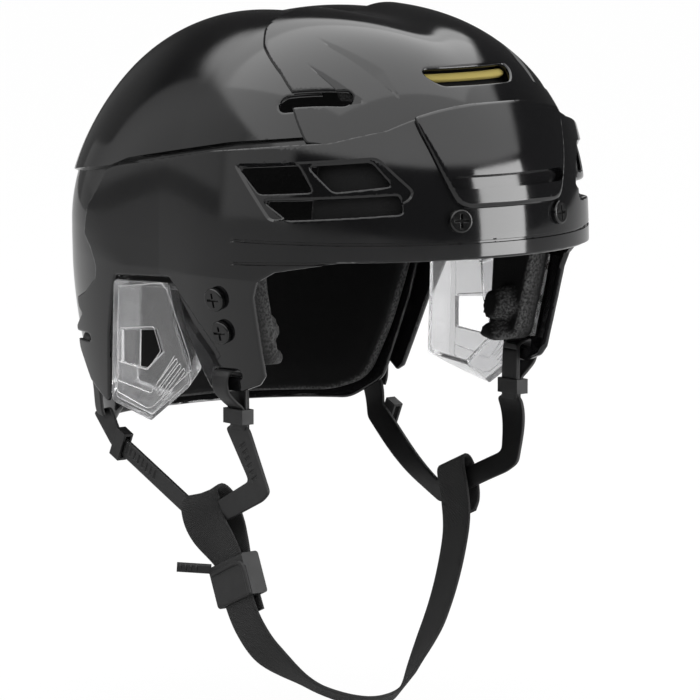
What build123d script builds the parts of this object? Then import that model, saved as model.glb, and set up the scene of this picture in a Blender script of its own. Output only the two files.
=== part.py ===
from build123d import *
import os
from math import cos, exp, radians, sin

# Ice hockey helmet in two sliding shells, with foam liners, clear ear guards and a chin strap.
# X runs across the head with the wearer's right at -X, the face looks along -Y and Z is up.
# The origin is the middle of the head cavity, level with the bottom of the brim.

# Head form, outer face
half_width = 102.0
front_reach = 136.3
rear_reach = 141.0
crown_height = 111.0
rim_depth = 10.0
straight_half = 20.0
front_power = 2.74
rear_power = 2.5
plan_power = 2.02
dome_power = 2.34
band_power = 3.2
overrun = 12.0

# Crown relief: a valley along the middle between two rounded ridges
valley_depth = 5.0
valley_half = 15.0
ridge_rise = 1.6
ridge_place = 40.0
ridge_half = 18.0

# Skirt below the rim: how far each level lies below it and leans in from it
skirt_drops = (0, 25.0, 50.0, 88.0)
side_leans = (0, 5.0, 10.5, 19.0)
rear_leans = (0, 0.5, 5.5, 19.0)
front_leans = (0, 3.5, 7.5, 13.5)
skirt_shifts = (0, 4.0, 8.0, 12.0)

# Walls, foam and the gaps between them
band_wall = 3.2
crown_wall = 2.6
rear_wall = 2.6
ledge_step = 1.0
slide_gap = 0.4
seat_gap = 0.3
fit_gap = 0.4
foam_split = 1.5
front_foam = 10.0
rear_foam = 10.0
shelf_depth = 3.0
slide_travel = 8.0
wing_tuck = 3.6
far_share = 1.2

crown_inset = ledge_step + crown_wall
rear_inset = crown_inset + slide_gap
rear_back_inset = rear_inset + rear_wall
front_foam_inset = crown_inset + seat_gap
rear_foam_inset = rear_back_inset + seat_gap

# Brow panel, grooves and openings in the front shell
brow_rise = 2.2
groove_depth = 1.2
groove_height = 1.5
visor_screw_place = 29.2
visor_screw_height = 19.0
side_screw_pitch = 16.0
strap_slot_length = 16.0
strap_slot_height = 3.4
rear_slot_length = 13.0
crown_vent_length = 40.0
crown_vent_height = 7.0
exhaust_length = 46.0
exhaust_height = 9.0
exhaust_place = 34.0
exhaust_level = 42.0
exhaust_tilt = 18.0
lower_vent_level = 4.0

# Screws, nuts and studs
head_radius = 5.5
head_height = 2.2
shank_radius = 2.0
screw_hole_radius = 2.4
nut_flange_radius = 6.0
nut_flange = 1.4
nut_radius = 3.4
nut_height = 3.2
drive_width = 1.2
drive_depth = 1.1
stud_radius = 2.6
stud_cap_radius = 5.5
stud_cap = 1.6
cap_gap = 1.6
nut_gap = 0.9
thread_gap = 0.1
head_round = 0.9
drive_reach = 3.4
nut_pocket_depth = 12.2

# Ear guards
guard_place = 102.5
guard_root_place = 88.0
guard_wall = 2.2
guard_round = 3.0

# Chin strap
strap_place = 82.0
sling_thick = 2.0
sling_round = 1.5
fold_thick = 1.6
fold_width = 11.0
fold_drop = 24.0
web_thick = 1.6
web_width = 21.0
web_hang = 11.5
web_offset = 2.2
chin_drop = 104.0
buckle_length = 20.0
buckle_slot_depth = 2.4
buckle_wall = 1.5
buckle_side = 2.0
web_gap = 1.0
keeper_wall = 1.2
keeper_gap = 0.4
keeper_length = 7.0

# Side view outlines: shares of the front reach along Y and of the crown height up
seam_shares = (
    (-1.2, 1.25), (-0.08, 1.25), (-0.08, 0.93), (-0.10, 0.90), (-0.175, 0.84), (-0.335, 0.75),
    (-0.42, 0.687), (-0.475, 0.604), (-0.565, 0.480),
)
ledge_front_shares = ((-0.67, 0.493), (-0.79, 0.545), (-0.862, 0.632), (-1.2, 0.700))
ledge_rear_shares = ((0.366, 0.279), (0.264, 0.322), (-0.25, 0.434), (-0.565, 0.480))
rear_edge_shares = (
    (-0.31, -0.577), (-0.176, -0.577), (-0.140, -0.486), (-0.092, -0.312), (-0.086, -0.171),
    (-0.045, -0.118), (0.262, -0.140), (0.290, -0.207), (0.363, -0.396), (0.436, -0.690),
    (0.462, -0.705), (0.540, -0.63), (0.600, -0.50), (0.600, -0.40), (0.550, -0.340),
    (0.587, -0.315), (0.587, -0.270), (0.513, -0.235), (0.440, -0.17), (0.425, -0.117),
    (0.454, -0.042), (0.498, 0.015), (0.476, 0.144), (0.418, 0.220),
)
lobe_shares = (
    (-1.2, 0.02), (-0.73, 0.0), (-0.53, -0.05), (-0.462, -0.10), (-0.440, -0.16),
    (-0.425, -0.500), (-0.395, -0.540),
)
rear_shell_shares = (
    (-0.235, 1.25), (-0.235, 0.90), (-0.33, 0.82), (-0.47, 0.735), (-0.545, 0.65),
    (-0.545, 0.53), (-0.33, 0.43), (-0.26, 0.36), (-0.22, 0.20), (-0.22, -0.02),
    (0.33, -0.02), (0.40, -0.20), (0.42, -0.37), (0.585, -0.37), (0.585, -0.74),
    (0.68, -0.80), (1.2, -0.83), (1.2, 1.25),
)
rear_line_shares = (
    (1.2, 0.16), (0.366, 0.300), (0.264, 0.343), (-0.25, 0.455), (-0.60, 0.505),
)
brow_foam_shares = ((-1.2, 0.05), (-0.62, 0.05), (-0.60, 0.48), (-1.2, 0.56))
crown_front_foam_shares = (
    (-1.2, 0.58), (-0.60, 0.50), (-0.575, 0.67), (-0.49, 0.76), (-0.35, 0.84), (-0.26, 0.92),
    (-0.26, 1.25), (-1.2, 1.25),
)
temple_foam_shares = (
    (-0.60, 0.03), (-0.24, 0.03), (-0.24, -0.10), (-0.30, -0.44), (-0.46, -0.44), (-0.52, -0.10),
    (-0.60, -0.04),
)
crown_rear_foam_shares = ((-0.22, 1.25), (-0.22, 0.62), (0.44, 0.62), (0.44, 1.25))
side_foam_shares = ((-0.20, 0.60), (-0.20, 0.0), (0.40, 0.0), (0.44, 0.12), (0.44, 0.60))
rear_foam_shares = ((0.46, 0.60), (0.46, -0.12), (1.2, -0.12), (1.2, 0.60))
nape_foam_shares = ((0.45, -0.14), (0.47, -0.50), (0.58, -0.70), (1.2, -0.76), (1.2, -0.14))
guide_share = (-0.04, 0.12)
side_screw_share = (-0.290, -0.322)
front_slot_share = (-0.27, -0.50)
rear_slot_share = (0.525, -0.44)

# Brim grooves: rear end, and level at the front
groove_run_shares = (((-0.36, 0.078), 0.093), ((-0.36, -0.018), 0.035))

# Ear guard corners: outer edge, and root where it meets the shell
guard_edge_shares = (
    (0.250, -0.158), (-0.048, -0.139), (-0.092, -0.324), (-0.161, -0.468), (-0.176, -0.559),
    (0.040, -0.730), (0.264, -0.676),
)
guard_root_shares = (
    (0.242, -0.171), (-0.045, -0.160), (-0.062, -0.330), (-0.095, -0.420), (-0.103, -0.505),
    (0.037, -0.640), (0.257, -0.613),
)
guard_window_shares = (
    (0.213, -0.369), (0.012, -0.345), (-0.023, -0.433), (0.066, -0.514), (0.213, -0.505),
)
guard_flange_shares = ((-0.36, -0.115), (-0.068, -0.115), (-0.10, -0.46), (-0.36, -0.46))
guard_pocket_shares = ((-0.38, -0.095), (0.0, -0.095), (0.0, -0.48), (-0.38, -0.48))

# Front view outlines: shares of the half width across and of the crown height up
brow_panel_shares = (
    (-0.42, 0.72), (-0.42, 0.56), (-0.365, 0.38), (-0.31, 0.25), (-0.27, 0.225),
    (0.27, 0.225), (0.31, 0.25), (0.365, 0.38), (0.42, 0.56), (0.42, 0.72),
)
brow_slot_shares = (
    (-0.35, 0.325), (-0.33, 0.345), (0.33, 0.345), (0.35, 0.325), (0.31, 0.27), (-0.31, 0.27),
)
forehead_slot_shares = (
    (-0.275, 0.765), (-0.262, 0.795), (0.262, 0.795), (0.275, 0.765), (0.22, 0.70), (-0.22, 0.70),
)
comfort_strip_shares = ((-0.27, 0.765), (0.27, 0.765), (0.25, 0.725), (-0.25, 0.725))
strip_channel_shares = ((-0.28, 0.81), (0.28, 0.81), (0.28, 0.69), (-0.28, 0.69))

# Side vent, seen square on: shares of its length and of its height about its middle
vent_length = 88.0
vent_height = 31.0
vent_place = (-0.784, -0.624)
vent_level_share = 0.30
vent_turn = 56.0
vent_rim_shares = (
    (-0.45, 0.31), (0.36, 0.52), (0.545, -0.02), (0.51, -0.19), (-0.22, -0.51),
)
vent_upper_rear_shares = ((-0.42, 0.27), (-0.075, 0.36), (0.015, -0.03), (-0.29, -0.10))
vent_upper_front_shares = ((-0.01, 0.34), (0.32, 0.42), (0.43, 0.08), (0.13, -0.02))
vent_lower_shares = ((-0.26, -0.20), (0.47, -0.07), (0.49, -0.33), (-0.12, -0.46))

# Crown slots: middle as shares of width, reach and height, and the ways they run and face
crown_vent_shares = (-0.616, -0.548, 0.638)
crown_vent_along = (0.555, -0.83, 0)
crown_vent_out = (-0.62, -0.415, 0.66)

# Sling in side view, its folds through the slots as shares of the fold drop, and the keepers
sling_shares = (
    (-0.216, -0.50), (-0.216, -0.73), (-0.185, -0.745), (-0.312, -0.953), (-0.143, -1.059),
    (-0.049, -1.112), (0.101, -1.027), (0.415, -0.851), (0.470, -0.745), (0.565, -0.780),
    (0.460, -0.913), (0.154, -1.086), (-0.059, -1.205), (-0.194, -1.136), (-0.384, -1.030),
    (-0.421, -0.989), (-0.310, -0.74), (-0.297, -0.73), (-0.297, -0.50),
)
front_fold_shares = (
    (0.0875, 0), (0.05, -0.396), (-0.329, -0.646), (-0.329, -1.0), (-0.404, -1.0), (-0.404, 0),
)
rear_fold_shares = ((0.070, 0), (-0.120, -1.0), (-0.150, -1.583), (-0.442, -1.167), (-0.212, 0))
front_fold_share = -0.257
front_keeper_shares = ((-0.257, -0.655), (-0.257, -0.715))
rear_keeper_shares = ((0.434, -0.884), (0.374, -0.918))

# Chin webbing: where it hangs, and its run as shares of the strap place and of the chin drop
chin_share = (-0.150, -1.108)
chin_lean = 23.0
chin_run_shares = (
    (-0.80, -0.74), (-0.40, -0.92), (0, -0.99), (0.36, -0.89), (0.66, -0.70), (0.87, -0.44),
)
web_fall_share = -0.50
web_rise_share = -0.17
tail_share = -0.48
web_sew_shares = (-0.092, -0.150)
buckle_share = -0.317

hoop_turns = range(0, 181, 15)
quarter_turns = range(0, 91, 15)


def in_side_view(shares):
    # places on the plane that is seen from the side
    return [(across * front_reach, up * crown_height) for across, up in shares]


def in_front_view(shares):
    # places on the plane that is seen from the front
    return [(across * half_width, up * crown_height) for across, up in shares]


def oval(wide, reach, power):
    # points of a quarter oval, from the middle out to the wearer's right
    points = []
    for turn in quarter_turns:
        across, out = sin(radians(turn)), cos(radians(turn))
        grow = (abs(across) ** power + abs(out) ** power) ** (-1 / power)
        points.append((-wide * grow * across, reach * grow * out))
    return points


def relief(across):
    # how far the crown stands above the plain dome at a distance from the middle
    ridge = ridge_rise * exp(-(((abs(across) - ridge_place) / ridge_half) ** 2))
    valley = valley_depth * exp(-((across / valley_half) ** 2))
    return ridge - valley


def head_form(inset, top_power, tuck=0):
    # the right half of the head form, moved in by the inset, with its side tucked in further
    wide = half_width - inset - tuck
    height = crown_height + rim_depth - inset
    with BuildPart() as form:
        for turn in hoop_turns:
            forward, rise = cos(radians(turn)), sin(radians(turn))
            ahead = turn < 90
            power = front_power if ahead else rear_power
            reach = (front_reach if ahead else rear_reach) - inset
            grow = (abs(forward) ** power + rise ** power) ** (-1 / power)
            top = Vector(0, -forward * grow * reach, rise * grow * height - rim_depth)
            foot = Vector(0, -straight_half * forward, -rim_depth)
            spoke = top - foot
            blend = rise ** 3 if ahead else rise
            section_power = plan_power + (top_power - plan_power) * blend
            points = [
                (x, y + relief(x) * rise ** 8 * (y / spoke.length) ** 2)
                for x, y in oval(wide, spoke.length, section_power)
            ]
            hoop = Plane(origin=foot, x_dir=(1, 0, 0), z_dir=(0, -spoke.Z, spoke.Y))
            with BuildSketch(hoop):
                with BuildLine():
                    arch = Spline(points, tangents=[(-1, 0), (0, -1)])
                    Polyline(arch @ 1, (0, 0), arch @ 0)
                make_face()
        loft()
        for level, drop in enumerate(skirt_drops):
            low = drop if level < len(skirt_drops) - 1 else drop + inset
            side = wide - side_leans[level]
            shift = skirt_shifts[level]
            front = front_reach - inset - straight_half - front_leans[level] + shift
            rear = rear_reach - inset - straight_half - rear_leans[level] - shift
            bow = [(x, shift - straight_half - y) for x, y in oval(side, front, plan_power)]
            stern = [(x, shift + straight_half + y) for x, y in oval(side, rear, plan_power)]
            with BuildSketch(Plane.XY.offset(-rim_depth - low)):
                with BuildLine():
                    ahead = Spline(bow, tangents=[(-1, 0), (0, 1)])
                    behind = Spline(stern, tangents=[(-1, 0), (0, -1)])
                    Line(ahead @ 1, behind @ 1)
                    Line(ahead @ 0, behind @ 0)
                make_face()
        loft()
    return form.part


def side_prism(points):
    # everything inside an outline that is drawn in side view
    with BuildPart() as prism:
        with BuildSketch(Plane.YZ):
            with BuildLine():
                Polyline(*points, close=True)
            make_face()
        extrude(amount=half_width + overrun, both=True)
    return prism.part


def front_prism(points):
    # everything ahead of the ears inside an outline that is drawn in front view
    with BuildPart() as prism:
        with BuildSketch(Plane.XZ):
            with BuildLine():
                Polyline(*points, close=True)
            make_face()
        extrude(amount=front_reach + overrun)
    return prism.part


def seat(form, start, direction):
    # where a ray from inside leaves the form, and the way its surface faces there
    hits = form.find_intersection_points(Axis(start, direction))
    return max(hits, key=lambda hit: hit[0].dot(Vector(*direction)))


def finish(name, part):
    # names the piece and writes it
    part.label = name
    export_step(part, f"parts/{name}.step")
    print(name, len(part.solids()), round(part.volume), part.is_valid)


os.makedirs("parts", exist_ok=True)

dome_face = head_form(ledge_step, dome_power)
dome_back = head_form(crown_inset, dome_power)
band_face = head_form(0, band_power)
band_back = head_form(band_wall, band_power)
brow_face = head_form(-brow_rise, band_power)
groove_back = head_form(groove_depth, band_power)

# Where the screws, slots and studs sit on the band, on the wearer's right
side_screw_y, side_screw_z = in_side_view([side_screw_share])[0]
screw_hit, screw_normal = seat(band_face, (0, side_screw_y, side_screw_z), (-1, 0, 0))
lobe_plane = Plane(origin=screw_hit, x_dir=(0, 1, 0), z_dir=screw_normal)
visor_hit, visor_normal = seat(band_face, (-visor_screw_place, 0, visor_screw_height), (0, -1, 0))
visor_plane = Plane(origin=visor_hit, x_dir=(0, 0, 1), z_dir=visor_normal)
guide_y, guide_z = in_side_view([guide_share])[0]
front_slot_y, front_slot_z = in_side_view([front_slot_share])[0]
front_slot_hit = seat(band_face, (0, front_slot_y, front_slot_z), (-1, 0, 0))[0]
rear_slot_y, rear_slot_z = in_side_view([rear_slot_share])[0]
rear_slot_hit, rear_slot_normal = seat(band_face, (0, rear_slot_y, rear_slot_z), (-1, 0, 0))

# Side vent: a sunk field with two upper holes, a slanted strut, a bar and a long lower hole
vent_x, vent_y = vent_place[0] * half_width, vent_place[1] * front_reach
vent_cos, vent_sin = cos(radians(vent_turn)), sin(radians(vent_turn))
vent_plane = Plane(
    origin=(vent_x, vent_y, vent_level_share * crown_height),
    x_dir=(vent_cos, -vent_sin, 0),
    z_dir=(-vent_sin, -vent_cos, 0),
)


def vent_prism(shares):
    # the prism over an outline that is drawn square to the vent
    with BuildPart() as prism:
        with BuildSketch(vent_plane):
            with BuildLine():
                Polyline(*[(x * vent_length, y * vent_height) for x, y in shares], close=True)
            make_face()
        extrude(amount=2 * overrun, both=True)
    return prism.part


with BuildPart() as skin:
    add(band_face)
    add(groove_back, mode=Mode.SUBTRACT)

with BuildPart() as vent_field:
    add(skin.part)
    add(vent_prism(vent_rim_shares), mode=Mode.INTERSECT)

with BuildPart() as vent_holes:
    add(vent_prism(vent_upper_rear_shares))
    add(vent_prism(vent_upper_front_shares))
    add(vent_prism(vent_lower_shares))


def groove_prism(rear_share, front_level):
    # the prism over one groove, drawn in side view
    (start_y, start_z), (end_y, end_z) = in_side_view([rear_share, (-far_share, front_level)])
    return side_prism([
        (start_y, start_z), (end_y, end_z),
        (end_y, end_z - groove_height), (start_y, start_z - groove_height),
    ])


# Two grooves that run round the brim, from the temple to the middle of the brow
with BuildPart() as groove_prisms:
    for rear_share, front_level in groove_run_shares:
        add(groove_prism(rear_share, front_level))

with BuildPart() as brim_grooves:
    add(skin.part)
    add(groove_prisms.part, mode=Mode.INTERSECT)

with BuildPart() as crown_slot:
    slot_plane = Plane(
        origin=(
            crown_vent_shares[0] * half_width,
            crown_vent_shares[1] * front_reach,
            crown_vent_shares[2] * crown_height,
        ),
        x_dir=crown_vent_along,
        z_dir=crown_vent_out,
    )
    with BuildSketch(slot_plane):
        SlotOverall(crown_vent_length, crown_vent_height)
    extrude(amount=overrun, both=True)

band_line = in_side_view(ledge_rear_shares + ledge_front_shares)
band_edge = in_side_view(rear_edge_shares[::-1] + lobe_shares[::-1])
band_prism = side_prism(band_line[::-1] + band_edge)

with BuildPart() as brow_panel:
    add(brow_face)
    add(band_back, mode=Mode.SUBTRACT)
    add(front_prism(in_front_view(brow_panel_shares)), mode=Mode.INTERSECT)
    add(band_prism, mode=Mode.INTERSECT)

with BuildPart() as brow_slot:
    add(brow_face)
    add(groove_back, mode=Mode.SUBTRACT)
    add(front_prism(in_front_view(brow_slot_shares)), mode=Mode.INTERSECT)

with BuildPart() as forehead_slot:
    add(front_prism(in_front_view(forehead_slot_shares)))

with BuildPart() as screw_holes:
    with BuildSketch(lobe_plane):
        with Locations((0, 0), (0, -side_screw_pitch)):
            Circle(screw_hole_radius)
    with BuildSketch(visor_plane):
        Circle(screw_hole_radius)
    extrude(amount=overrun, both=True)

with BuildPart() as strap_slots:
    with BuildSketch(Plane.YZ):
        with Locations((front_slot_y, front_slot_z)):
            SlotOverall(strap_slot_length, strap_slot_height)
    extrude(amount=half_width + overrun, both=True)

rear_slot_plane = Plane(
    origin=rear_slot_hit,
    x_dir=Vector(0, 0, 1).cross(Vector(rear_slot_normal.X, rear_slot_normal.Y, 0)),
    z_dir=Vector(rear_slot_normal.X, rear_slot_normal.Y, 0),
)
with BuildPart() as rear_slots:
    with BuildSketch(rear_slot_plane):
        SlotOverall(rear_slot_length + strap_slot_height, strap_slot_height)
    extrude(amount=overrun, both=True)

shelf_line = [(y, z - shelf_depth) for y, z in band_line]

with BuildPart() as front_crown:
    add(dome_face)
    add(dome_back, mode=Mode.SUBTRACT)
    crown_edge = [(y, z - shelf_depth) for y, z in in_side_view(ledge_front_shares)]
    add(side_prism(in_side_view(seam_shares) + crown_edge), mode=Mode.INTERSECT)

with BuildPart() as shelf:
    add(band_face)
    add(dome_back, mode=Mode.SUBTRACT)
    add(side_prism(band_line + shelf_line[::-1]), mode=Mode.INTERSECT)

with BuildPart() as front_shell:
    add(band_face)
    add(band_back, mode=Mode.SUBTRACT)
    add(band_prism, mode=Mode.INTERSECT)
    add(shelf.part)
    add(front_crown.part)
    add(brow_panel.part)
    add(brow_slot.part, mode=Mode.SUBTRACT)
    add(vent_field.part, mode=Mode.SUBTRACT)
    add(vent_holes.part, mode=Mode.SUBTRACT)
    add(crown_slot.part, mode=Mode.SUBTRACT)
    add(forehead_slot.part, mode=Mode.SUBTRACT)
    add(screw_holes.part, mode=Mode.SUBTRACT)
    add(strap_slots.part, mode=Mode.SUBTRACT)
    add(rear_slots.part, mode=Mode.SUBTRACT)
    add(brim_grooves.part, mode=Mode.SUBTRACT)
    mirror(about=Plane.YZ)
finish("front_shell", front_shell.part)

# Rear shell: slides inside the front shell, with tucked wings under the band
rear_face = head_form(rear_inset, dome_power)
rear_back = head_form(rear_back_inset, dome_power)
wing_face = head_form(rear_inset, dome_power, wing_tuck)
wing_back = head_form(rear_back_inset, dome_power, wing_tuck)

rear_line = in_side_view(rear_line_shares)
raised_line = [(y, z + rear_wall) for y, z in rear_line]
rear_line_end = (-far_share, rear_line_shares[-1][1])
above = in_side_view([rear_line_end, (-far_share, far_share), (far_share, far_share)])
below = in_side_view([rear_line_end, (-far_share, -far_share), (far_share, -far_share)])

with BuildPart() as rear_outside:
    add(rear_face)
    add(side_prism(rear_line + above), mode=Mode.INTERSECT)

with BuildPart() as wing_outside:
    add(wing_face)
    add(side_prism(rear_line + below), mode=Mode.INTERSECT)

with BuildPart() as rear_inside:
    add(rear_back)
    add(side_prism(raised_line + above), mode=Mode.INTERSECT)

with BuildPart() as wing_inside:
    add(wing_back)
    add(side_prism(raised_line + below), mode=Mode.INTERSECT)

with BuildPart() as exhaust_vents:
    with BuildSketch(Plane.XZ):
        with Locations((-exhaust_place, exhaust_level)):
            SlotOverall(exhaust_length, exhaust_height, rotation=-exhaust_tilt)
        with Locations((0, lower_vent_level)):
            SlotOverall(exhaust_length, exhaust_height)
    extrude(amount=-rear_reach)

with BuildPart() as guide_slots:
    with BuildSketch(Plane.YZ):
        with Locations((guide_y - slide_travel / 2, guide_z)):
            SlotCenterToCenter(slide_travel, 2 * (stud_radius + fit_gap))
    extrude(amount=half_width + overrun, both=True)

with BuildPart() as rear_shell:
    add(rear_outside.part)
    add(wing_outside.part)
    add(rear_inside.part, mode=Mode.SUBTRACT)
    add(wing_inside.part, mode=Mode.SUBTRACT)
    add(side_prism(in_side_view(rear_shell_shares)), mode=Mode.INTERSECT)
    add(exhaust_vents.part, mode=Mode.SUBTRACT)
    add(guide_slots.part, mode=Mode.SUBTRACT)
    mirror(about=Plane.YZ)
finish("rear_shell", rear_shell.part)

# Guide studs: pressed to the inside of the band, each with a cap inside the rear shell's slot
cap_place = seat(wing_back, (0, guide_y, guide_z), (-1, 0, 0))[0].X + cap_gap
with BuildPart() as guide_studs:
    with BuildSketch(Plane.YZ.offset(cap_place)):
        with Locations((guide_y, guide_z)):
            Circle(stud_radius)
    extrude(amount=-overrun)
    add(band_back, mode=Mode.INTERSECT)
    with BuildSketch(Plane.YZ.offset(cap_place)):
        with Locations((guide_y, guide_z)):
            Circle(stud_cap_radius)
    extrude(amount=stud_cap)
    mirror(about=Plane.YZ)
finish("guide_studs", guide_studs.part)

# Foam: front pieces sit against the front shell, rear pieces against the rear shell
front_foam_face = head_form(front_foam_inset, dome_power)
front_foam_back = head_form(front_foam_inset + front_foam, dome_power)
rear_foam_face = head_form(rear_foam_inset, dome_power, wing_tuck)
rear_foam_back = head_form(rear_foam_inset + rear_foam, dome_power, wing_tuck)

with BuildPart() as strip_channel:
    add(front_foam_face)
    add(rear_foam_face, mode=Mode.SUBTRACT)
    add(front_prism(in_front_view(strip_channel_shares)), mode=Mode.INTERSECT)

with BuildPart() as comfort_strip:
    add(front_foam_face)
    add(rear_back, mode=Mode.SUBTRACT)
    add(front_prism(in_front_view(comfort_strip_shares)), mode=Mode.INTERSECT)
    mirror(about=Plane.YZ)
finish("comfort_strip", comfort_strip.part)

with BuildPart() as visor_recess:
    with BuildSketch(visor_plane.offset(-nut_pocket_depth)):
        Circle(nut_flange_radius + foam_split)
    extrude(amount=nut_pocket_depth)

with BuildPart() as brow_foam:
    add(front_foam_face)
    add(front_foam_back, mode=Mode.SUBTRACT)
    add(side_prism(in_side_view(brow_foam_shares)), mode=Mode.INTERSECT)
    add(visor_recess.part, mode=Mode.SUBTRACT)
    mirror(about=Plane.YZ)
finish("brow_foam", brow_foam.part)

with BuildPart() as crown_front_foam:
    add(front_foam_face)
    add(front_foam_back, mode=Mode.SUBTRACT)
    add(side_prism(in_side_view(crown_front_foam_shares)), mode=Mode.INTERSECT)
    add(strip_channel.part, mode=Mode.SUBTRACT)
    add(crown_slot.part, mode=Mode.SUBTRACT)
    mirror(about=Plane.YZ)
finish("crown_front_foam", crown_front_foam.part)


def write_pair(name, part):
    # the piece on the wearer's right, and its twin on the left
    finish(f"{name}_right", part)
    with BuildPart() as twin:
        mirror(part, about=Plane.YZ)
    finish(f"{name}_left", twin.part)


with BuildPart() as guard_pocket:
    add(front_foam_face)
    add(rear_back.moved(Location((seat_gap, 0, 0))), mode=Mode.SUBTRACT)
    add(side_prism(in_side_view(guard_pocket_shares)), mode=Mode.INTERSECT)

with BuildPart() as nut_pockets:
    with BuildSketch(lobe_plane.offset(-nut_pocket_depth)):
        with Locations((0, 0), (0, -side_screw_pitch)):
            Circle(nut_flange_radius + foam_split)
    extrude(amount=nut_pocket_depth)

with BuildPart() as temple_foams:
    add(front_foam_face)
    add(front_foam_back, mode=Mode.SUBTRACT)
    add(side_prism(in_side_view(temple_foam_shares)), mode=Mode.INTERSECT)
    add(guard_pocket.part, mode=Mode.SUBTRACT)
    add(nut_pockets.part, mode=Mode.SUBTRACT)
write_pair("temple_foam", temple_foams.part)

with BuildPart() as cap_channels:
    with BuildSketch(Plane.YZ):
        with Locations((guide_y - slide_travel / 2, guide_z)):
            SlotCenterToCenter(slide_travel, 2 * (stud_cap_radius + foam_split))
    extrude(amount=half_width + overrun, both=True)

with BuildPart() as rear_lining:
    add(rear_foam_face)
    add(rear_foam_back, mode=Mode.SUBTRACT)

with BuildPart() as side_foams:
    add(rear_lining.part)
    add(side_prism(in_side_view(side_foam_shares)), mode=Mode.INTERSECT)
    add(cap_channels.part, mode=Mode.SUBTRACT)
write_pair("side_foam", side_foams.part)

for name, shares in (
    ("crown_rear_foam", crown_rear_foam_shares),
    ("rear_foam", rear_foam_shares),
    ("nape_foam", nape_foam_shares),
):
    with BuildPart() as pad:
        add(rear_lining.part)
        add(side_prism(in_side_view(shares)), mode=Mode.INTERSECT)
        mirror(about=Plane.YZ)
    finish(name, pad.part)

# Screws: pan heads with a cross drive on the outside, flanged nuts behind the wall
nut_seat = rear_back_inset + nut_gap


def pan_screw(plane, places, length):
    # screws with their heads on the plane
    with BuildPart() as screws:
        with BuildSketch(plane):
            with Locations(*places):
                Circle(head_radius)
        extrude(amount=head_height)
        outward = Axis(plane.origin, plane.z_dir)
        tops = screws.faces().filter_by(outward).sort_by(outward)[-len(places):]
        fillet(tops.edges(), radius=head_round)
        with BuildSketch(plane):
            with Locations(*places):
                Circle(shank_radius)
        extrude(amount=-length)
        with BuildSketch(plane.offset(head_height)):
            with Locations(*places):
                Rectangle(2 * drive_reach, drive_width)
                Rectangle(drive_width, 2 * drive_reach)
        extrude(amount=-drive_depth, mode=Mode.SUBTRACT)
        mirror(about=Plane.YZ)
    return screws.part


def flange_nut(plane, places, depth):
    # nuts on the shanks, with their flanges towards the wall
    with BuildPart() as nuts:
        with BuildSketch(plane.offset(-depth)):
            with Locations(*places):
                Circle(nut_flange_radius)
        extrude(amount=-nut_flange)
        with BuildSketch(plane.offset(-depth - nut_flange)):
            with Locations(*places):
                RegularPolygon(nut_radius, 6)
        extrude(amount=-nut_height)
        with BuildSketch(plane.offset(-depth)):
            with Locations(*places):
                Circle(shank_radius + thread_gap)
        extrude(amount=-nut_flange - nut_height, mode=Mode.SUBTRACT)
        mirror(about=Plane.YZ)
    return nuts.part


side_places = ((0, 0), (0, -side_screw_pitch))
visor_depth = band_wall + nut_gap
finish("side_screws", pan_screw(lobe_plane, side_places, nut_seat + nut_flange + nut_height))
finish("side_nuts", flange_nut(lobe_plane, side_places, nut_seat))
finish("visor_screws", pan_screw(visor_plane, ((0, 0),), visor_depth + nut_flange + nut_height))
finish("visor_nuts", flange_nut(visor_plane, ((0, 0),), visor_depth))

# Ear guards: clear trays that flare outwards, each with a window and a flange under the temple
guard_sides = (-guard_place, guard_edge_shares), (-guard_root_place, guard_root_shares)
with BuildPart() as ear_guards:
    for place, shares in guard_sides:
        with BuildSketch(Plane.YZ.offset(place)) as ring:
            with BuildLine():
                Polyline(*in_side_view(shares), close=True)
            make_face()
            fillet(ring.vertices(), radius=guard_round)
    loft(ruled=True)
    for place, shares in guard_sides:
        inner_place = max(place, guard_wall - guard_place)
        with BuildSketch(Plane.YZ.offset(inner_place)) as ring:
            with BuildLine():
                Polyline(*in_side_view(shares), close=True)
            make_face()
            offset(amount=-guard_wall, kind=Kind.INTERSECTION)
            fillet(ring.vertices(), radius=guard_round - guard_wall / 2)
    loft(ruled=True, mode=Mode.SUBTRACT)
    with BuildSketch(Plane.YZ.offset(-guard_place)):
        with BuildLine():
            Polyline(*in_side_view(guard_window_shares), close=True)
        make_face()
    extrude(amount=guard_wall, both=True, mode=Mode.SUBTRACT)

with BuildPart() as guard_flanges:
    add(front_foam_face)
    add(rear_back, mode=Mode.SUBTRACT)
    add(side_prism(in_side_view(guard_flange_shares)), mode=Mode.INTERSECT)
    add(screw_holes.part, mode=Mode.SUBTRACT)

with BuildPart() as guards:
    add(ear_guards.part)
    add(guard_flanges.part)
write_pair("ear_guard", guards.part)

# Slings: the moulded V under each ear, folded through the front and the rear slot of the shell


def fold(plane, shares):
    # a flat loop of strap, drawn in the plane
    with BuildPart() as loop:
        with BuildSketch(plane):
            with BuildLine():
                Polyline(*[(out * fold_drop, up * fold_drop) for out, up in shares], close=True)
            trace(line_width=fold_thick)
        extrude(amount=fold_width / 2, both=True)
    return loop.part


outwards = Vector(rear_slot_normal.X, rear_slot_normal.Y, 0)
front_fold_plane = Plane(
    origin=(front_slot_hit.X, front_fold_share * front_reach, front_slot_hit.Z),
    x_dir=(-1, 0, 0),
    z_dir=(0, 1, 0),
)
rear_fold_plane = Plane(
    origin=rear_slot_hit, x_dir=outwards, z_dir=(outwards.Y, -outwards.X, 0)
)
with BuildPart() as slings:
    with BuildSketch(Plane.YZ.offset(-strap_place)) as bars:
        with BuildLine():
            Polyline(*in_side_view(sling_shares), close=True)
        make_face()
        fillet(bars.vertices(), radius=sling_round)
    extrude(amount=sling_thick / 2, both=True)
    add(fold(front_fold_plane, front_fold_shares))
    add(fold(rear_fold_plane, rear_fold_shares))
write_pair("sling", slings.part)


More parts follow.
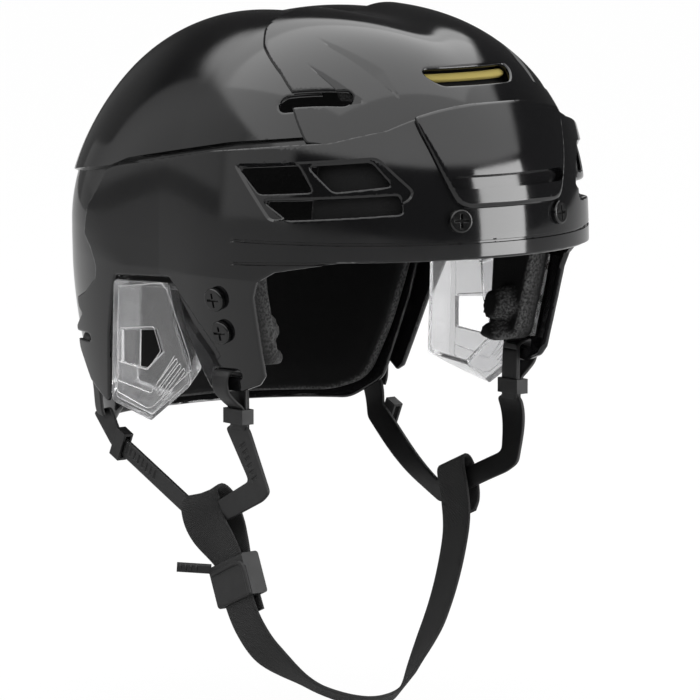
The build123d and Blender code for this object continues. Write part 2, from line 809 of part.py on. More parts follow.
def keeper(shares, wide, deep, place):
    # a sleeve round the strap, from the first place towards the second
    (start_y, start_z), (end_y, end_z) = in_side_view(shares)
    along = Plane(
        origin=(-place, start_y, start_z), x_dir=(1, 0, 0), z_dir=(0, end_y - start_y, end_z - start_z)
    )
    with BuildPart() as sleeve:
        with BuildSketch(along):
            Rectangle(deep + 2 * keeper_wall, wide + 2 * keeper_wall)
            Rectangle(deep, wide, mode=Mode.SUBTRACT)
        extrude(amount=keeper_length)
    return sleeve.part


front_deep = sling_thick + fold_thick + 2 * keeper_gap
rear_deep = sling_thick + 2 * keeper_gap
strap_wide = fold_width + 2 * keeper_gap
front_place = strap_place + fold_thick / 2
write_pair("front_keeper", keeper(front_keeper_shares, strap_wide, front_deep, front_place))
write_pair("rear_keeper", keeper(rear_keeper_shares, strap_wide, rear_deep, strap_place))

# Chin webbing: doubled back over the right sling, and sewn to itself round the left one
chin_y, chin_z = in_side_view([chin_share])[0]
lean_cos, lean_sin = cos(radians(chin_lean)), sin(radians(chin_lean))
web_plane = Plane(
    origin=(0, chin_y, chin_z), x_dir=(1, 0, 0), z_dir=(0, -lean_cos, lean_sin)
)
inside, outside = strap_place - web_offset, strap_place + web_offset
bend_level = web_hang - web_offset
sew_top, sew_end = web_sew_shares[0] * chin_drop, web_sew_shares[1] * chin_drop
with BuildPart() as chin_webbing:
    with BuildSketch(web_plane):
        with BuildLine():
            tail = Line((-inside, tail_share * chin_drop), (-inside, bend_level))
            turn = TangentArc(tail @ 1, (-outside, bend_level), tangent=(0, 1))
            fall = Line(turn @ 1, (-outside, web_fall_share * chin_drop))
            run = [(x * strap_place, y * chin_drop) for x, y in chin_run_shares]
            foot = (inside, web_rise_share * chin_drop)
            chin = Spline(fall @ 1, *run, foot, tangents=[(0, -1), (0, 1)])
            Line(chin @ 1, (inside, bend_level))
        trace(line_width=web_thick)
    extrude(amount=web_width / 2, both=True)
    with BuildSketch(web_plane):
        with BuildLine():
            turn_back = TangentArc((inside, bend_level), (outside, bend_level), tangent=(0, 1))
            Polyline(turn_back @ 1, (outside, sew_top), (inside, sew_end))
        trace(line_width=web_thick)
    extrude(amount=web_width / 2, both=True)
finish("chin_webbing", chin_webbing.part)

# Ladder lock: both layers of the webbing pass through it, one on each side of its middle bar
buckle_depth = 2 * (web_offset + buckle_slot_depth / 2 + buckle_wall)
with BuildPart() as ladder_lock:
    with BuildSketch(web_plane):
        with Locations((-strap_place, buckle_share * chin_drop)):
            RectangleRounded(buckle_depth, buckle_length, buckle_wall)
    extrude(amount=web_width / 2 + web_gap + buckle_side, both=True)
    with BuildSketch(web_plane):
        with Locations((-inside, buckle_share * chin_drop), (-outside, buckle_share * chin_drop)):
            Rectangle(buckle_slot_depth, buckle_length + overrun)
    extrude(amount=web_width / 2 + web_gap, both=True, mode=Mode.SUBTRACT)
finish("ladder_lock", ladder_lock.part)
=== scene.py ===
import math

import bpy
import numpy as np
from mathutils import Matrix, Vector


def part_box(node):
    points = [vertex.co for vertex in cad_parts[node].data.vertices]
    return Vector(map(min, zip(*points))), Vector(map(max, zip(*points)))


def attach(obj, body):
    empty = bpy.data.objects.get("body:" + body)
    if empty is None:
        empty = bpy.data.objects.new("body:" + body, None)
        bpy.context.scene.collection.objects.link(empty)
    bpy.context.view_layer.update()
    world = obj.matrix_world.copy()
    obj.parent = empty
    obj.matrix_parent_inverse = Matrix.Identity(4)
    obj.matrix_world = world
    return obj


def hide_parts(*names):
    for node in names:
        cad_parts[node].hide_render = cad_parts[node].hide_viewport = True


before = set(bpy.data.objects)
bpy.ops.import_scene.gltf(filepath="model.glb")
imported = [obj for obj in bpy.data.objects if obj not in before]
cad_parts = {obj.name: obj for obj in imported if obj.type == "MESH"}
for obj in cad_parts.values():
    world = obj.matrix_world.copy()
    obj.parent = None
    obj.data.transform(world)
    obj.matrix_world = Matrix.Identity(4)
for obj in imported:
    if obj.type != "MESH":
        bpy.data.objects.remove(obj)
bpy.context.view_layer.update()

mm = 0.001

# The head form, from the part's source, in millimetres; behind the ears it is a little fuller
form = {
    "halfWidth": 102.0, "frontReach": 136.3, "rearReach": 141.0, "crown": 111.0, "rim": 10.0,
    "straight": 20.0, "frontPower": 2.74, "rearPower": 2.5, "planPower": 2.02,
    "domePower": 2.34, "bandPower": 3.2, "frontBlend": 3, "ridgeFade": 8,
    "valleyDepth": 5.0, "valleyHalf": 15.0, "ridgeRise": 1.6, "ridgePlace": 40.0, "ridgeHalf": 18.0,
    "drops": (0.0, 25.0, 50.0, 88.0), "sideLeans": (0.0, 5.0, 10.5, 19.0),
    "rearLeans": (0.0, 0.5, 5.5, 19.0), "frontLeans": (0.0, 3.5, 7.5, 13.5),
    "shifts": (0.0, 4.0, 8.0, 12.0), "tuck": 3.6,
    "bandWall": 3.2, "crownInset": 3.6, "ledgeStep": 1.0, "rearInset": 4.0, "rearBack": 6.6,
    "rearFull": 4.5, "rearFullLow": 3.0, "rearFade": 0.9, "rearFadeTop": 75.0,
    "frontFoam": 3.9, "rearFoam": 6.9, "foam": 10.0, "browRise": 2.6, "sunk": 1.2, "tailLevel": 92,
}
# Outlines drawn square on, as shares of the form: from the side along and up, from the front across
# and up; the vents are shares of the vent plane
outlines = {
    "seam": [(-1.2, 1.25), (-0.08, 1.25), (-0.08, 0.93), (-0.10, 0.90), (-0.175, 0.84),
             (-0.335, 0.75), (-0.42, 0.687), (-0.475, 0.604), (-0.565, 0.480)],
    "ledgeFront": [(-0.67, 0.493), (-0.79, 0.545), (-0.862, 0.632), (-1.2, 0.700)],
    "ledgeRear": [(0.318, 0.297), (0.264, 0.322), (-0.25, 0.434), (-0.565, 0.480)],
    "rearEdge": [(-0.31, -0.577), (-0.176, -0.577), (-0.140, -0.486), (-0.092, -0.312),
                 (-0.086, -0.171), (-0.045, -0.118), (0.240, -0.140), (0.268, -0.207),
                 (0.330, -0.396), (0.400, -0.690), (0.426, -0.710), (0.520, -0.63),
                 (0.570, -0.50), (0.570, -0.40), (0.510, -0.340), (0.530, -0.315),
                 (0.530, -0.270), (0.455, -0.235), (0.375, -0.17), (0.360, -0.117),
                 (0.380, -0.042), (0.420, 0.015), (0.400, 0.144), (0.350, 0.220)],
    "lobe": [(-1.2, 0.02), (-0.73, 0.0), (-0.53, -0.05), (-0.462, -0.10), (-0.440, -0.16),
             (-0.425, -0.500), (-0.395, -0.540)],
    "rear": [(-0.235, 1.25), (-0.235, 0.90), (-0.33, 0.82), (-0.47, 0.735), (-0.545, 0.65),
             (-0.56, 0.455), (-0.33, 0.405), (-0.26, 0.36), (-0.22, 0.20), (-0.22, -0.02),
             (0.30, -0.02), (0.34, -0.20), (0.36, -0.37), (0.43, -0.74),
             (0.56, -0.84), (1.2, -0.87), (1.2, 1.25)],
    "rearLine": [(1.2, 0.16), (0.366, 0.300), (0.264, 0.343), (-0.25, 0.455), (-0.60, 0.505)],
    "browFoam": [(-1.2, 0.05), (-0.62, 0.05), (-0.60, 0.48), (-1.2, 0.56)],
    "crownFrontFoam": [(-1.2, 0.58), (-0.60, 0.50), (-0.575, 0.67), (-0.49, 0.76), (-0.35, 0.84),
                       (-0.26, 0.92), (-0.26, 1.25), (-1.2, 1.25)],
    "templeFoam": [(-0.42, 0.03), (-0.12, 0.03), (-0.14, -0.10), (-0.19, -0.46), (-0.375, -0.48),
                   (-0.385, -0.10)],
    "crownRearFoam": [(-0.22, 1.25), (-0.22, 0.62), (0.44, 0.62), (0.44, 1.25)],
    "sideFoam": [(-0.20, 0.60), (-0.20, 0.0), (0.40, 0.0), (0.44, 0.12), (0.44, 0.60)],
    "rearFoam": [(0.46, 0.60), (0.46, -0.12), (1.2, -0.12), (1.2, 0.60)],
    "napeFoam": [(0.34, -0.14), (0.40, -0.50), (0.47, -0.74), (0.60, -0.80), (1.2, -0.83), (1.2, -0.14)],
    "browPanel": [(-0.42, 0.72), (-0.42, 0.56), (-0.365, 0.38), (-0.31, 0.25), (-0.27, 0.225),
                  (0.27, 0.225), (0.31, 0.25), (0.365, 0.38), (0.42, 0.56), (0.42, 0.72)],
    "browSlot": [(-0.31, 0.357), (0.31, 0.357), (0.335, 0.330), (0.31, 0.302), (-0.31, 0.302),
                 (-0.335, 0.330)],
    "foreheadSlot": [(-0.250, 0.750), (-0.235, 0.774), (0.235, 0.774), (0.250, 0.750),
                     (0.20, 0.708), (-0.20, 0.708)],
    "comfortStrip": [(-0.25, 0.752), (0.25, 0.752), (0.24, 0.727), (-0.24, 0.727)],
    "stripChannel": [(-0.28, 0.81), (0.28, 0.81), (0.28, 0.69), (-0.28, 0.69)],
    "ventRim": [(-0.45, 0.31), (0.35, 0.49), (0.545, -0.02), (0.51, -0.19), (-0.22, -0.51)],
    "ventA": [(-0.42, 0.27), (-0.075, 0.36), (0.015, -0.03), (-0.29, -0.10)],
    "ventB": [(-0.01, 0.34), (0.32, 0.42), (0.43, 0.08), (0.13, -0.02)],
    "ventC": [(-0.26, -0.20), (0.47, -0.07), (0.49, -0.33), (-0.12, -0.46)],
}


def sideView(name):
    return [(y * form["frontReach"], z * form["crown"]) for y, z in outlines[name]]


def frontView(name):
    return [(x * form["halfWidth"], z * form["crown"]) for x, z in outlines[name]]


# A rounded corner: the most it takes of a side, and the places along its curve
curve = {"most": 0.45, "places": (0.0, 0.2, 0.4, 0.6, 0.8, 1.0)}


def rounded(points, radius):
    # the outline with its corners cut back to curves
    done = []
    count = len(points)
    for i in range(count):
        before, corner, after = (np.array(points[(i + k) % count], float) for k in (-1, 0, 1))
        back, on = before - corner, after - corner
        cutBack = min(radius, curve["most"] * np.linalg.norm(back))
        cutOn = min(radius, curve["most"] * np.linalg.norm(on))
        start = corner + back / np.linalg.norm(back) * cutBack
        end = corner + on / np.linalg.norm(on) * cutOn
        for t in curve["places"]:
            done.append((1 - t) ** 2 * start + 2 * t * (1 - t) * corner + t * t * end)
    return np.array(done)


def inset(points, outline):
    # distance inside the outline, negative outside it
    outline = np.asarray(outline, float)
    near = np.full(len(points), 1e9)
    inside = np.zeros(len(points), bool)
    for a, b in zip(outline, np.roll(outline, -1, axis=0)):
        run = b - a
        size = run @ run
        if size < 1e-12:
            continue
        t = np.clip(((points - a) @ run) / size, 0, 1)
        gap = points - a - t[:, None] * run
        near = np.minimum(near, np.hypot(gap[:, 0], gap[:, 1]))
        crosses = (a[1] > points[:, 1]) != (b[1] > points[:, 1])
        with np.errstate(divide="ignore", invalid="ignore"):
            place = run[0] * (points[:, 1] - a[1]) / (run[1] if run[1] else 1e-12) + a[0]
        inside ^= crosses & (points[:, 0] < place)
    return np.where(inside, near, -near)


def smooth(low, high, value):
    t = np.clip((value - low) / (high - low), 0, 1)
    return t * t * (3 - 2 * t)


def levels(name, drop):
    return np.polyval(np.polyfit(form["drops"], form[name], 3), drop)


def surface(insetBy, topPower, tuck, grid):
    # points of the head form on the shared grid: dome rows from front to rear, then the skirt
    turns, across = grid["turns"], grid["across"]
    wide = form["halfWidth"] - insetBy - tuck
    height = form["crown"] + form["rim"] - insetBy
    t, u = np.radians(turns)[:, None], np.radians(across)[None, :]
    forward, rise = np.cos(t), np.sin(t)
    ahead = turns[:, None] < 90
    power = np.where(ahead, form["frontPower"], form["rearPower"])
    reach = np.where(ahead, form["frontReach"], form["rearReach"]) - insetBy
    grow = (np.abs(forward) ** power + rise ** power) ** (-1 / power)
    topY, topZ = -forward * grow * reach, rise * grow * height - form["rim"]
    footY, footZ = -form["straight"] * forward, -form["rim"]
    length = np.hypot(topY - footY, topZ - footZ)
    blend = np.where(ahead, rise ** form["frontBlend"], rise)
    section = form["planPower"] + (topPower - form["planPower"]) * blend
    side, out = np.abs(np.sin(u)), np.abs(np.cos(u))
    g = (side ** section + out ** section) ** (-1 / section)
    x = wide * g * np.sin(u)
    y = length * g * out
    ridge = form["ridgeRise"] * np.exp(-(((np.abs(x) - form["ridgePlace"]) / form["ridgeHalf"]) ** 2))
    valley = form["valleyDepth"] * np.exp(-((x / form["valleyHalf"]) ** 2))
    y = y + (ridge - valley) * rise ** form["ridgeFade"] * (y / length) ** 2
    dome = np.stack([x, footY + (topY - footY) * y / length, footZ + (topZ - footZ) * y / length], -1)

    drop = grid["drops"][:, None]
    sideHalf = wide - levels("sideLeans", drop)
    shift = levels("shifts", drop)
    bowReach = form["frontReach"] - insetBy - form["straight"] - levels("frontLeans", drop) + shift
    sternReach = form["rearReach"] - insetBy - form["straight"] - levels("rearLeans", drop) - shift
    p = form["planPower"]
    quarter = np.radians(across)[None, :]
    a, o = np.abs(np.sin(quarter)), np.abs(np.cos(quarter))
    g = (a ** p + o ** p) ** (-1 / p)
    level = -form["rim"] - drop + 0 * quarter
    width = sideHalf * g * np.sin(quarter)
    bow = np.stack([width, shift - form["straight"] - bowReach * g * o, level], -1)
    stern = np.stack([width, shift + form["straight"] + sternReach * g * o, level], -1)
    run = -form["straight"] * np.cos(np.radians(turns))[None, :]
    flat = np.stack([sideHalf + 0 * run, run + shift, -form["rim"] - drop + 0 * run], -1)
    mirror = flat * np.array([-1, 1, 1])
    return [fuller(block) for block in (dome, bow, stern, flat, mirror)]


def fuller(block):
    # the head is broader behind the ears than an oval, and more so lower down
    x, y, z = block[..., 0], block[..., 1], block[..., 2]
    aside, behind = x / form["halfWidth"], np.maximum(y, 0) / form["rearReach"]
    low = np.clip(-z / form["drops"][-1], 0, 1)
    grow = 2 * np.abs(aside) * behind * (form["rearFull"] + form["rearFullLow"] * low)
    grow = grow * (1 - form["rearFade"] * smooth(0.0, form["rearFadeTop"], z))
    return np.stack([x + np.sign(x) * grow, y + grow * (y > 0), z], -1)


def makeGrid(parts, acrossCount, dropCount):
    # one mesh for every form: the same corners and faces, whatever the inset
    turns = np.concatenate([np.linspace(*part)[int(k > 0):] for k, part in enumerate(parts)])
    turnCount = len(turns)
    across = np.linspace(-90, 90, acrossCount)
    drops = np.linspace(0, form["tailLevel"], dropCount)
    grid = {"turns": turns, "across": across, "drops": drops}
    index, faces, start = {}, [], 0
    shapes = {"dome": (turnCount, acrossCount), "bow": (dropCount, acrossCount),
              "stern": (dropCount, acrossCount), "left": (dropCount, turnCount),
              "right": (dropCount, turnCount)}
    for name, (rows, columns) in shapes.items():
        index[name] = np.arange(rows * columns).reshape(rows, columns) + start
        start += rows * columns
    # shared borders
    index["bow"][0] = index["dome"][0]
    index["stern"][0] = index["dome"][-1]
    index["left"][0] = index["dome"][:, -1]
    index["right"][0] = index["dome"][:, 0]
    index["left"][:, 0] = index["bow"][:, -1]
    index["left"][:, -1] = index["stern"][:, -1]
    index["right"][:, 0] = index["bow"][:, 0]
    index["right"][:, -1] = index["stern"][:, 0]
    flips = {"dome": False, "bow": True, "stern": False, "left": True, "right": False}
    for name in shapes:
        i = index[name]
        quads = np.stack([i[:-1, :-1], i[:-1, 1:], i[1:, 1:], i[1:, :-1]], -1).reshape(-1, 4)
        faces.append(quads[:, ::-1] if flips[name] else quads)
    grid["faces"] = np.concatenate(faces)
    grid["index"] = index
    grid["size"] = start
    return grid


def formPoints(insetBy, topPower, grid, tuck=0.0):
    points = np.zeros((grid["size"], 3))
    dome, bow, stern, left, right = surface(insetBy, topPower, tuck, grid)
    index = grid["index"]
    for name, block in (("left", left), ("right", right), ("bow", bow), ("stern", stern), ("dome", dome)):
        points[index[name].ravel()] = block.reshape(-1, 3)
    return points


def normals(points, faces):
    a, b, c, d = (points[faces[:, k]] for k in range(4))
    face = np.cross(c - a, d - b)
    total = np.zeros_like(points)
    for k in range(4):
        np.add.at(total, faces[:, k], face)
    size = np.linalg.norm(total, axis=1)
    size[size == 0] = 1
    return total / size[:, None]


# How a wall is cut and its edges are rounded
wallLook = {"offLine": 0.04, "edgeShares": (0.1, 0.35, 1.0), "mostPull": 0.45, "sharp": 36}


def split(polygons, blocks, which, level, drop):
    # cuts the polygons along a line where a carried value has the level, and may drop the low side;
    # corners almost on the line are taken as a little off it, so that no slivers are made
    values = blocks[which]
    high = values > level
    away = np.maximum(np.abs(values - level), wallLook["offLine"])
    values = level + np.where(high, away, -away)
    quads, others = polygons
    corners = high[quads]
    whole = corners.all(axis=1) | (~corners.any(axis=1))
    keep = corners.all(axis=1) if drop else whole
    crossing = [list(q) for q in quads[~whole]]
    quads, kept = quads[keep], []
    for ring in others:
        count = sum(high[v] for v in ring)
        if 0 < count < len(ring):
            crossing.append(ring)
        elif count or not drop:
            kept.append(ring)
    added, low, up = {}, [], []
    size = len(values)
    for ring in crossing:
        first, second = [], []
        for a, b in zip(ring, ring[1:] + ring[:1]):
            if a == b:
                continue
            (first if high[a] else second).append(a)
            if high[a] != high[b]:
                key = (a, b) if a < b else (b, a)
                if key not in added:
                    added[key] = size + len(low)
                    low.append(key[0])
                    up.append(key[1])
                first.append(added[key])
                second.append(added[key])
        kept.append(first)
        if not drop:
            kept.append(second)
    if low:
        t = (level - values[low]) / (values[up] - values[low])
        blocks = [np.concatenate([b, b[low] + (b[up] - b[low]) * (t[:, None] if b.ndim > 1 else t)])
                  for b in blocks]
        blocks[which][size:] = level
    return (quads, [ring for ring in kept if len(ring) > 2]), blocks


def addMesh(name, points, polygons, sharp=None):
    # points in millimetres; unused points are dropped
    used = np.unique(np.concatenate([np.asarray(p) for p in polygons]))
    remap = np.full(len(points), -1)
    remap[used] = np.arange(len(used))
    mesh = bpy.data.meshes.new(name)
    mesh.from_pydata((points[used] * mm).tolist(), [], [[int(remap[v]) for v in p] for p in polygons])
    mesh.validate()
    mesh.update()
    obj = bpy.data.objects.new(name, mesh)
    bpy.context.scene.collection.objects.link(obj)
    mesh.shade_smooth()
    if sharp is not None:
        mesh.set_sharp_from_angle(angle=math.radians(sharp))
    return obj


def shell(name, outer, inner, faces, field, edge=1.0, sharp=wallLook["sharp"], creases=(),
          relief=None):
    # a wall between two surfaces, cut where the field is negative, with rounded edges; each crease
    # is a value with the levels at which the mesh is split, and the relief moves the faces
    blocks = [outer, inner, field] + [values for values, _ in creases]
    polygons = faces, []
    polygons, blocks = split(polygons, blocks, 2, 0, True)
    for k, (_, lines) in enumerate(creases):
        for level in lines:
            polygons, blocks = split(polygons, blocks, 3 + k, level, False)
    for share in wallLook["edgeShares"] if edge else ():
        polygons, blocks = split(polygons, blocks, 2, share * edge, False)
    outer, inner, depth = blocks[:3]
    if relief:
        outer, inner = relief(outer, inner, blocks[3:])
    gap = inner - outer
    thick = np.linalg.norm(gap, axis=1)
    thick[thick == 0] = 1
    depth = np.clip(depth, 0, None)
    pull = np.zeros(len(depth))
    if edge:
        pull = edge - np.sqrt(np.clip(edge ** 2 - np.clip(edge - depth, 0, None) ** 2, 0, None))
    step = gap / thick[:, None] * np.minimum(pull, thick * wallLook["mostPull"])[:, None]
    top, under = outer + step, inner - step
    count = len(top)
    rings = polygons[0].tolist() + polygons[1]
    seen = {}
    for ring in rings:
        for a, b in zip(ring, ring[1:] + ring[:1]):
            key = (a, b) if a < b else (b, a)
            seen[key] = None if key in seen else (a, b)
    rims = [pair for pair in seen.values() if pair]
    every = rings + [[v + count for v in reversed(ring)] for ring in rings]
    every += [[b, a, a + count, b + count] for a, b in rims]
    return addMesh(name, np.concatenate([top, under]), every, sharp)


def combine(base, others, operation):
    # joins or cuts closed meshes for good, and drops the tools
    for tool in others:
        step = base.modifiers.new(operation.lower(), "BOOLEAN")
        step.operation, step.solver, step.object = operation, "MANIFOLD", tool
    result = bpy.data.meshes.new_from_object(base.evaluated_get(bpy.context.evaluated_depsgraph_get()))
    result.name = base.name
    base.modifiers.clear()
    base.data = result
    for tool in others:
        bpy.data.objects.remove(tool)
    return base


def smoothed(obj, angle):
    obj.data.shade_smooth()
    obj.data.set_sharp_from_angle(angle=math.radians(angle))
    return obj


def onRight(points):
    # the same place on the wearer's right
    return points * np.where(points[:, :1] > 0, (-1, 1, 1), (1, 1, 1))


def planeShares(points, plane):
    # where points lie on a plane drawn square on: across it, up it and out of it
    origin, along, out = (np.array(plane[k], float) for k in ("origin", "along", "out"))
    along, out = along / np.linalg.norm(along), out / np.linalg.norm(out)
    up = np.cross(out, along)
    local = onRight(points) - origin
    return local @ along, local @ up, local @ out


def slotDepth(across, up, length, height):
    # distance inside a slot with round ends
    reach = np.clip(np.abs(across) - (length - height) / 2, 0, None)
    return height / 2 - np.hypot(reach, up)


ventPlane = {"origin": (-80.0, -85.05, 33.3), "along": (0.5592, -0.8290, 0), "out": (-0.8290, -0.5592, 0),
             "length": 88.0, "height": 31.0}
crownSlot = {"origin": (-62.8, -74.7, 70.8), "along": (0.555, -0.83, 0), "out": (-0.62, -0.415, 0.66),
             "length": 37.0, "height": 8.4, "shift": (-5.0, 0.9)}
strapSlots = {"front": (-36.8, -55.5), "rear": (71.6, -48.8), "length": 16.2, "height": 3.4}
planeReach = 40.0  # how far off its plane a drawing still counts
outside = -50.0  # the depth given beyond that
farOff = 250.0  # past any edge of the helmet


def ventDepth(points, name, corner):
    across, up, out = planeShares(points, ventPlane)
    outline = [(a * ventPlane["length"], u * ventPlane["height"]) for a, u in outlines[name]]
    depth = inset(np.stack([across, up], 1), rounded(outline, corner))
    return np.where(np.abs(out) < planeReach, depth, outside)


def sideDepth(points, outline, corner=0.0):
    outline = rounded(outline, corner) if corner else outline
    return inset(points[:, 1:], outline)


def frontDepth(points, outline, corner=0.0):
    outline = rounded(outline, corner) if corner else outline
    depth = inset(points[:, [0, 2]], outline)
    return np.where(points[:, 1] < 0, depth, outside)


# Turns from the front over the crown, in runs of start, end and count; then the counts across and down
gridLook = {"fine": (((0, 14, 50), (14, 90, 96), (90, 180, 90)), 300, 84),
            "coarse": (((0, 180, 200),), 200, 56)}
fine = makeGrid(*gridLook["fine"])
coarse = makeGrid(*gridLook["coarse"])
print("grids ready")

# Crown flutes, drawn square on to the crown slot: shallow facets beside the slot
flutes = {
    "high": [(-16.1, 40.6), (9.7, 27.3), (24.1, 18.5), (36.5, 2.3), (23.5, 11.7), (11.6, 20.3), (-3.9, 30.9)],
    "low": [(-14.4, 22.2), (1.9, 12.1), (12.0, 4.4), (20.5, -0.7), (12.2, -2.8), (6.4, 3.4), (-10.1, 17.5)],
    "highEdge": [(-70.0, 70.2), (24.1, 18.5), (70.0, -41.5), (-70.0, -60.0)],
    "lowEdge": [(-70.0, 58.7), (70.0, -33.2), (-70.0, -60.0)],
    "slope": 0.26, "wall": 0.5, "most": 9,
}
# Grooves round the brim: where each starts on the side, and its level at the front
brim = {"grooves": (((-0.36, 0.078), 0.093), ((-0.36, -0.018), 0.035)), "front": -1.2, "half": 0.75,
        "slope": 0.3, "depth": 1.2, "runOut": 6}


def crownSlotDepth(points, more=0.0):
    # distance inside the slot on the crown, on either side
    across, up, out = planeShares(points, crownSlot)
    shiftAcross, shiftUp = crownSlot["shift"]
    depth = slotDepth(across - shiftAcross, up - shiftUp, crownSlot["length"], crownSlot["height"])
    return np.where(np.abs(out) < planeReach, depth + more, outside)


# Corner and edge radii of the front shell, the depths at which its wall steps, and the crown's lap
frontLook = {
    "ventCorner": 3.0, "windowCorner": 2.0, "ventSlope": 1.0, "edge": 1.1, "wallStep": (3.0, 4.5),
    "foreheadCorner": 3.0, "crownEdge": 1.0, "crownLap": 3.0,
    "panelCorner": 5.0, "panelEdge": 2.0, "panelBack": 1.0, "slotCorner": 2.4, "slotOut": 1.0,
}


def grooveRuns(points):
    # each groove's distance beside its line, and the distance along it
    beside, along = [], []
    for (startY, startZ), frontLevel in brim["grooves"]:
        start = np.array([startY * form["frontReach"], startZ * form["crown"]])
        end = np.array([brim["front"] * form["frontReach"], frontLevel * form["crown"]])
        run = (end - start) / np.linalg.norm(end - start)
        local = points[:, 1:] - start
        along.append(local @ run)
        beside.append(local @ np.array([-run[1], run[0]]) - brim["half"])
    return beside, along


def bandRelief(outer, inner, carried):
    vent, upper, lower, upperEnd, lowerEnd = carried[:5]
    sunk = form["sunk"] * np.clip(vent / frontLook["ventSlope"], 0, 1)
    for off, end in ((upper, upperEnd), (lower, lowerEnd)):
        line = np.clip((brim["half"] - np.abs(off)) / brim["slope"], 0, 1) * smooth(0, brim["runOut"], end)
        sunk = np.maximum(sunk, brim["depth"] * line)
    return outer - np.stack(carried[6:9], 1) * sunk[:, None], inner


def makeBand(faces, band, domeBack, ledge, below):
    # the band, with its sunk vent field, its windows, the strap slots and the grooves round the brim
    bandBack = formPoints(form["bandWall"], form["bandPower"], fine)
    vent = ventDepth(band, "ventRim", frontLook["ventCorner"])
    grooves, ends = grooveRuns(band)
    ledgeDepth = sideDepth(band, ledge + [(-farOff, -farOff), (farOff, -farOff)])
    facing = normals(band, faces)
    stepShare = smooth(*frontLook["wallStep"], ledgeDepth)
    inner = domeBack + (bandBack - domeBack) * stepShare[:, None]
    field = below
    for name in ("ventA", "ventB", "ventC"):
        field = np.minimum(field, -ventDepth(band, name, frontLook["windowCorner"]))
    for end in ("front", "rear"):
        y, z = strapSlots[end]
        slot = slotDepth(band[:, 1] - y, band[:, 2] - z, strapSlots["length"], strapSlots["height"])
        field = np.minimum(field, -slot)
    half, slope = brim["half"], brim["slope"]
    lines = (-half, slope - half, half - slope, half)
    creases = [(vent, (0, frontLook["ventSlope"])), (grooves[0], lines), (grooves[1], lines)]
    creases += [(ends[0], (0,)), (ends[1], (0,)), (ledgeDepth, frontLook["wallStep"])]
    creases += [(facing[:, k], ()) for k in range(3)]
    return shell("frontShell", band, inner, faces, field, frontLook["edge"], creases=creases,
                 relief=bandRelief)


def crownRelief(outer, inner, carried):
    sunk = 0
    for inside, run in (carried[0:2], carried[2:4]):
        facet = flutes["slope"] * np.clip(run, 0, flutes["most"]) * np.clip(inside / flutes["wall"], 0, 1)
        sunk = np.maximum(sunk, facet)
    return outer - np.stack(carried[4:7], 1) * sunk[:, None], inner


def makeCrown(faces, domeBack):
    # the crown, which goes on under the band's edge
    dome = formPoints(form["ledgeStep"], form["domePower"], fine)
    crownEdge = [(y, z - frontLook["crownLap"]) for y, z in sideView("ledgeFront")]
    field = sideDepth(dome, sideView("seam") + crownEdge)
    across, up, out = planeShares(dome, crownSlot)
    field = np.minimum(field, -crownSlotDepth(dome))
    field = np.minimum(field, -frontDepth(dome, frontView("foreheadSlot"), frontLook["foreheadCorner"]))
    flat = np.stack([across, up], 1)
    low, lowRun, high, highRun = (np.where(np.abs(out) < planeReach, inset(flat, flutes[k]), outside)
                                  for k in ("low", "lowEdge", "high", "highEdge"))
    facing = normals(dome, faces)
    creases = [(low, (0, flutes["wall"])), (lowRun, ()), (high, (0, flutes["wall"])), (highRun, ())]
    creases += [(facing[:, k], ()) for k in range(3)]
    return shell("crown", dome, domeBack, faces, field, frontLook["crownEdge"], creases=creases,
                 relief=crownRelief)


def makePanel(faces, below):
    # the raised brow panel, and the tool that cuts its slot
    power, rise, out = form["bandPower"], form["browRise"], frontLook["slotOut"]
    brow = formPoints(-rise, power, fine)
    field = np.minimum(frontDepth(brow, frontView("browPanel"), frontLook["panelCorner"]), below)
    panel = shell("panel", brow, formPoints(frontLook["panelBack"], power, fine), faces, field,
                  frontLook["panelEdge"])
    slot = frontDepth(brow, frontView("browSlot"), frontLook["slotCorner"])
    cutter = shell("slot", formPoints(-rise - out, power, fine), formPoints(form["sunk"], power, fine),
                   faces, slot, 0)
    return panel, cutter


def makeFrontShell():
    faces = fine["faces"]
    band = formPoints(0, form["bandPower"], fine)
    domeBack = formPoints(form["crownInset"], form["domePower"], fine)
    ledge = sideView("ledgeRear") + sideView("ledgeFront")
    below = sideDepth(band, ledge[::-1] + sideView("rearEdge")[::-1] + sideView("lobe")[::-1])
    body = makeBand(faces, band, domeBack, ledge, below)
    crown = makeCrown(faces, domeBack)
    panel, cutter = makePanel(faces, below)
    combine(body, [crown, panel], "UNION")
    combine(body, [cutter], "DIFFERENCE")
    return smoothed(body, wallLook["sharp"])


# Exhaust slots: a leaning pair high up at the back and a level one below
exhaust = {"place": 34.0, "level": 42.0, "tilt": -18.0, "length": 46.0, "height": 9.0, "lowLevel": 4.0}
rearLook = {"corner": 4.0, "edge": 1.0, "lineTop": 60.0, "blend": 1.0, "step": 0.6, "crease": 0.2,
            "backStep": (1.8, 3.2)}


def exhaustDepth(points):
    # distance inside the exhaust slots
    turn = math.radians(exhaust["tilt"])
    x, z = -np.abs(points[:, 0]) + exhaust["place"], points[:, 2] - exhaust["level"]
    across, up = x * math.cos(turn) - z * math.sin(turn), x * math.sin(turn) + z * math.cos(turn)
    upper = slotDepth(across, up, exhaust["length"], exhaust["height"])
    lower = slotDepth(points[:, 0], points[:, 2] - exhaust["lowLevel"], exhaust["length"], exhaust["height"])
    return np.maximum(upper, lower)


def stepUp(outer, inner, carried):
    # above the line the rear shell stands out by the tuck
    above, lift, liftBack = carried[0], np.stack(carried[1:4], 1), np.stack(carried[4:7], 1)
    step = rearLook["step"]
    return (outer + lift * smooth(-step, step, above)[:, None],
            inner + liftBack * smooth(*rearLook["backStep"], above)[:, None])


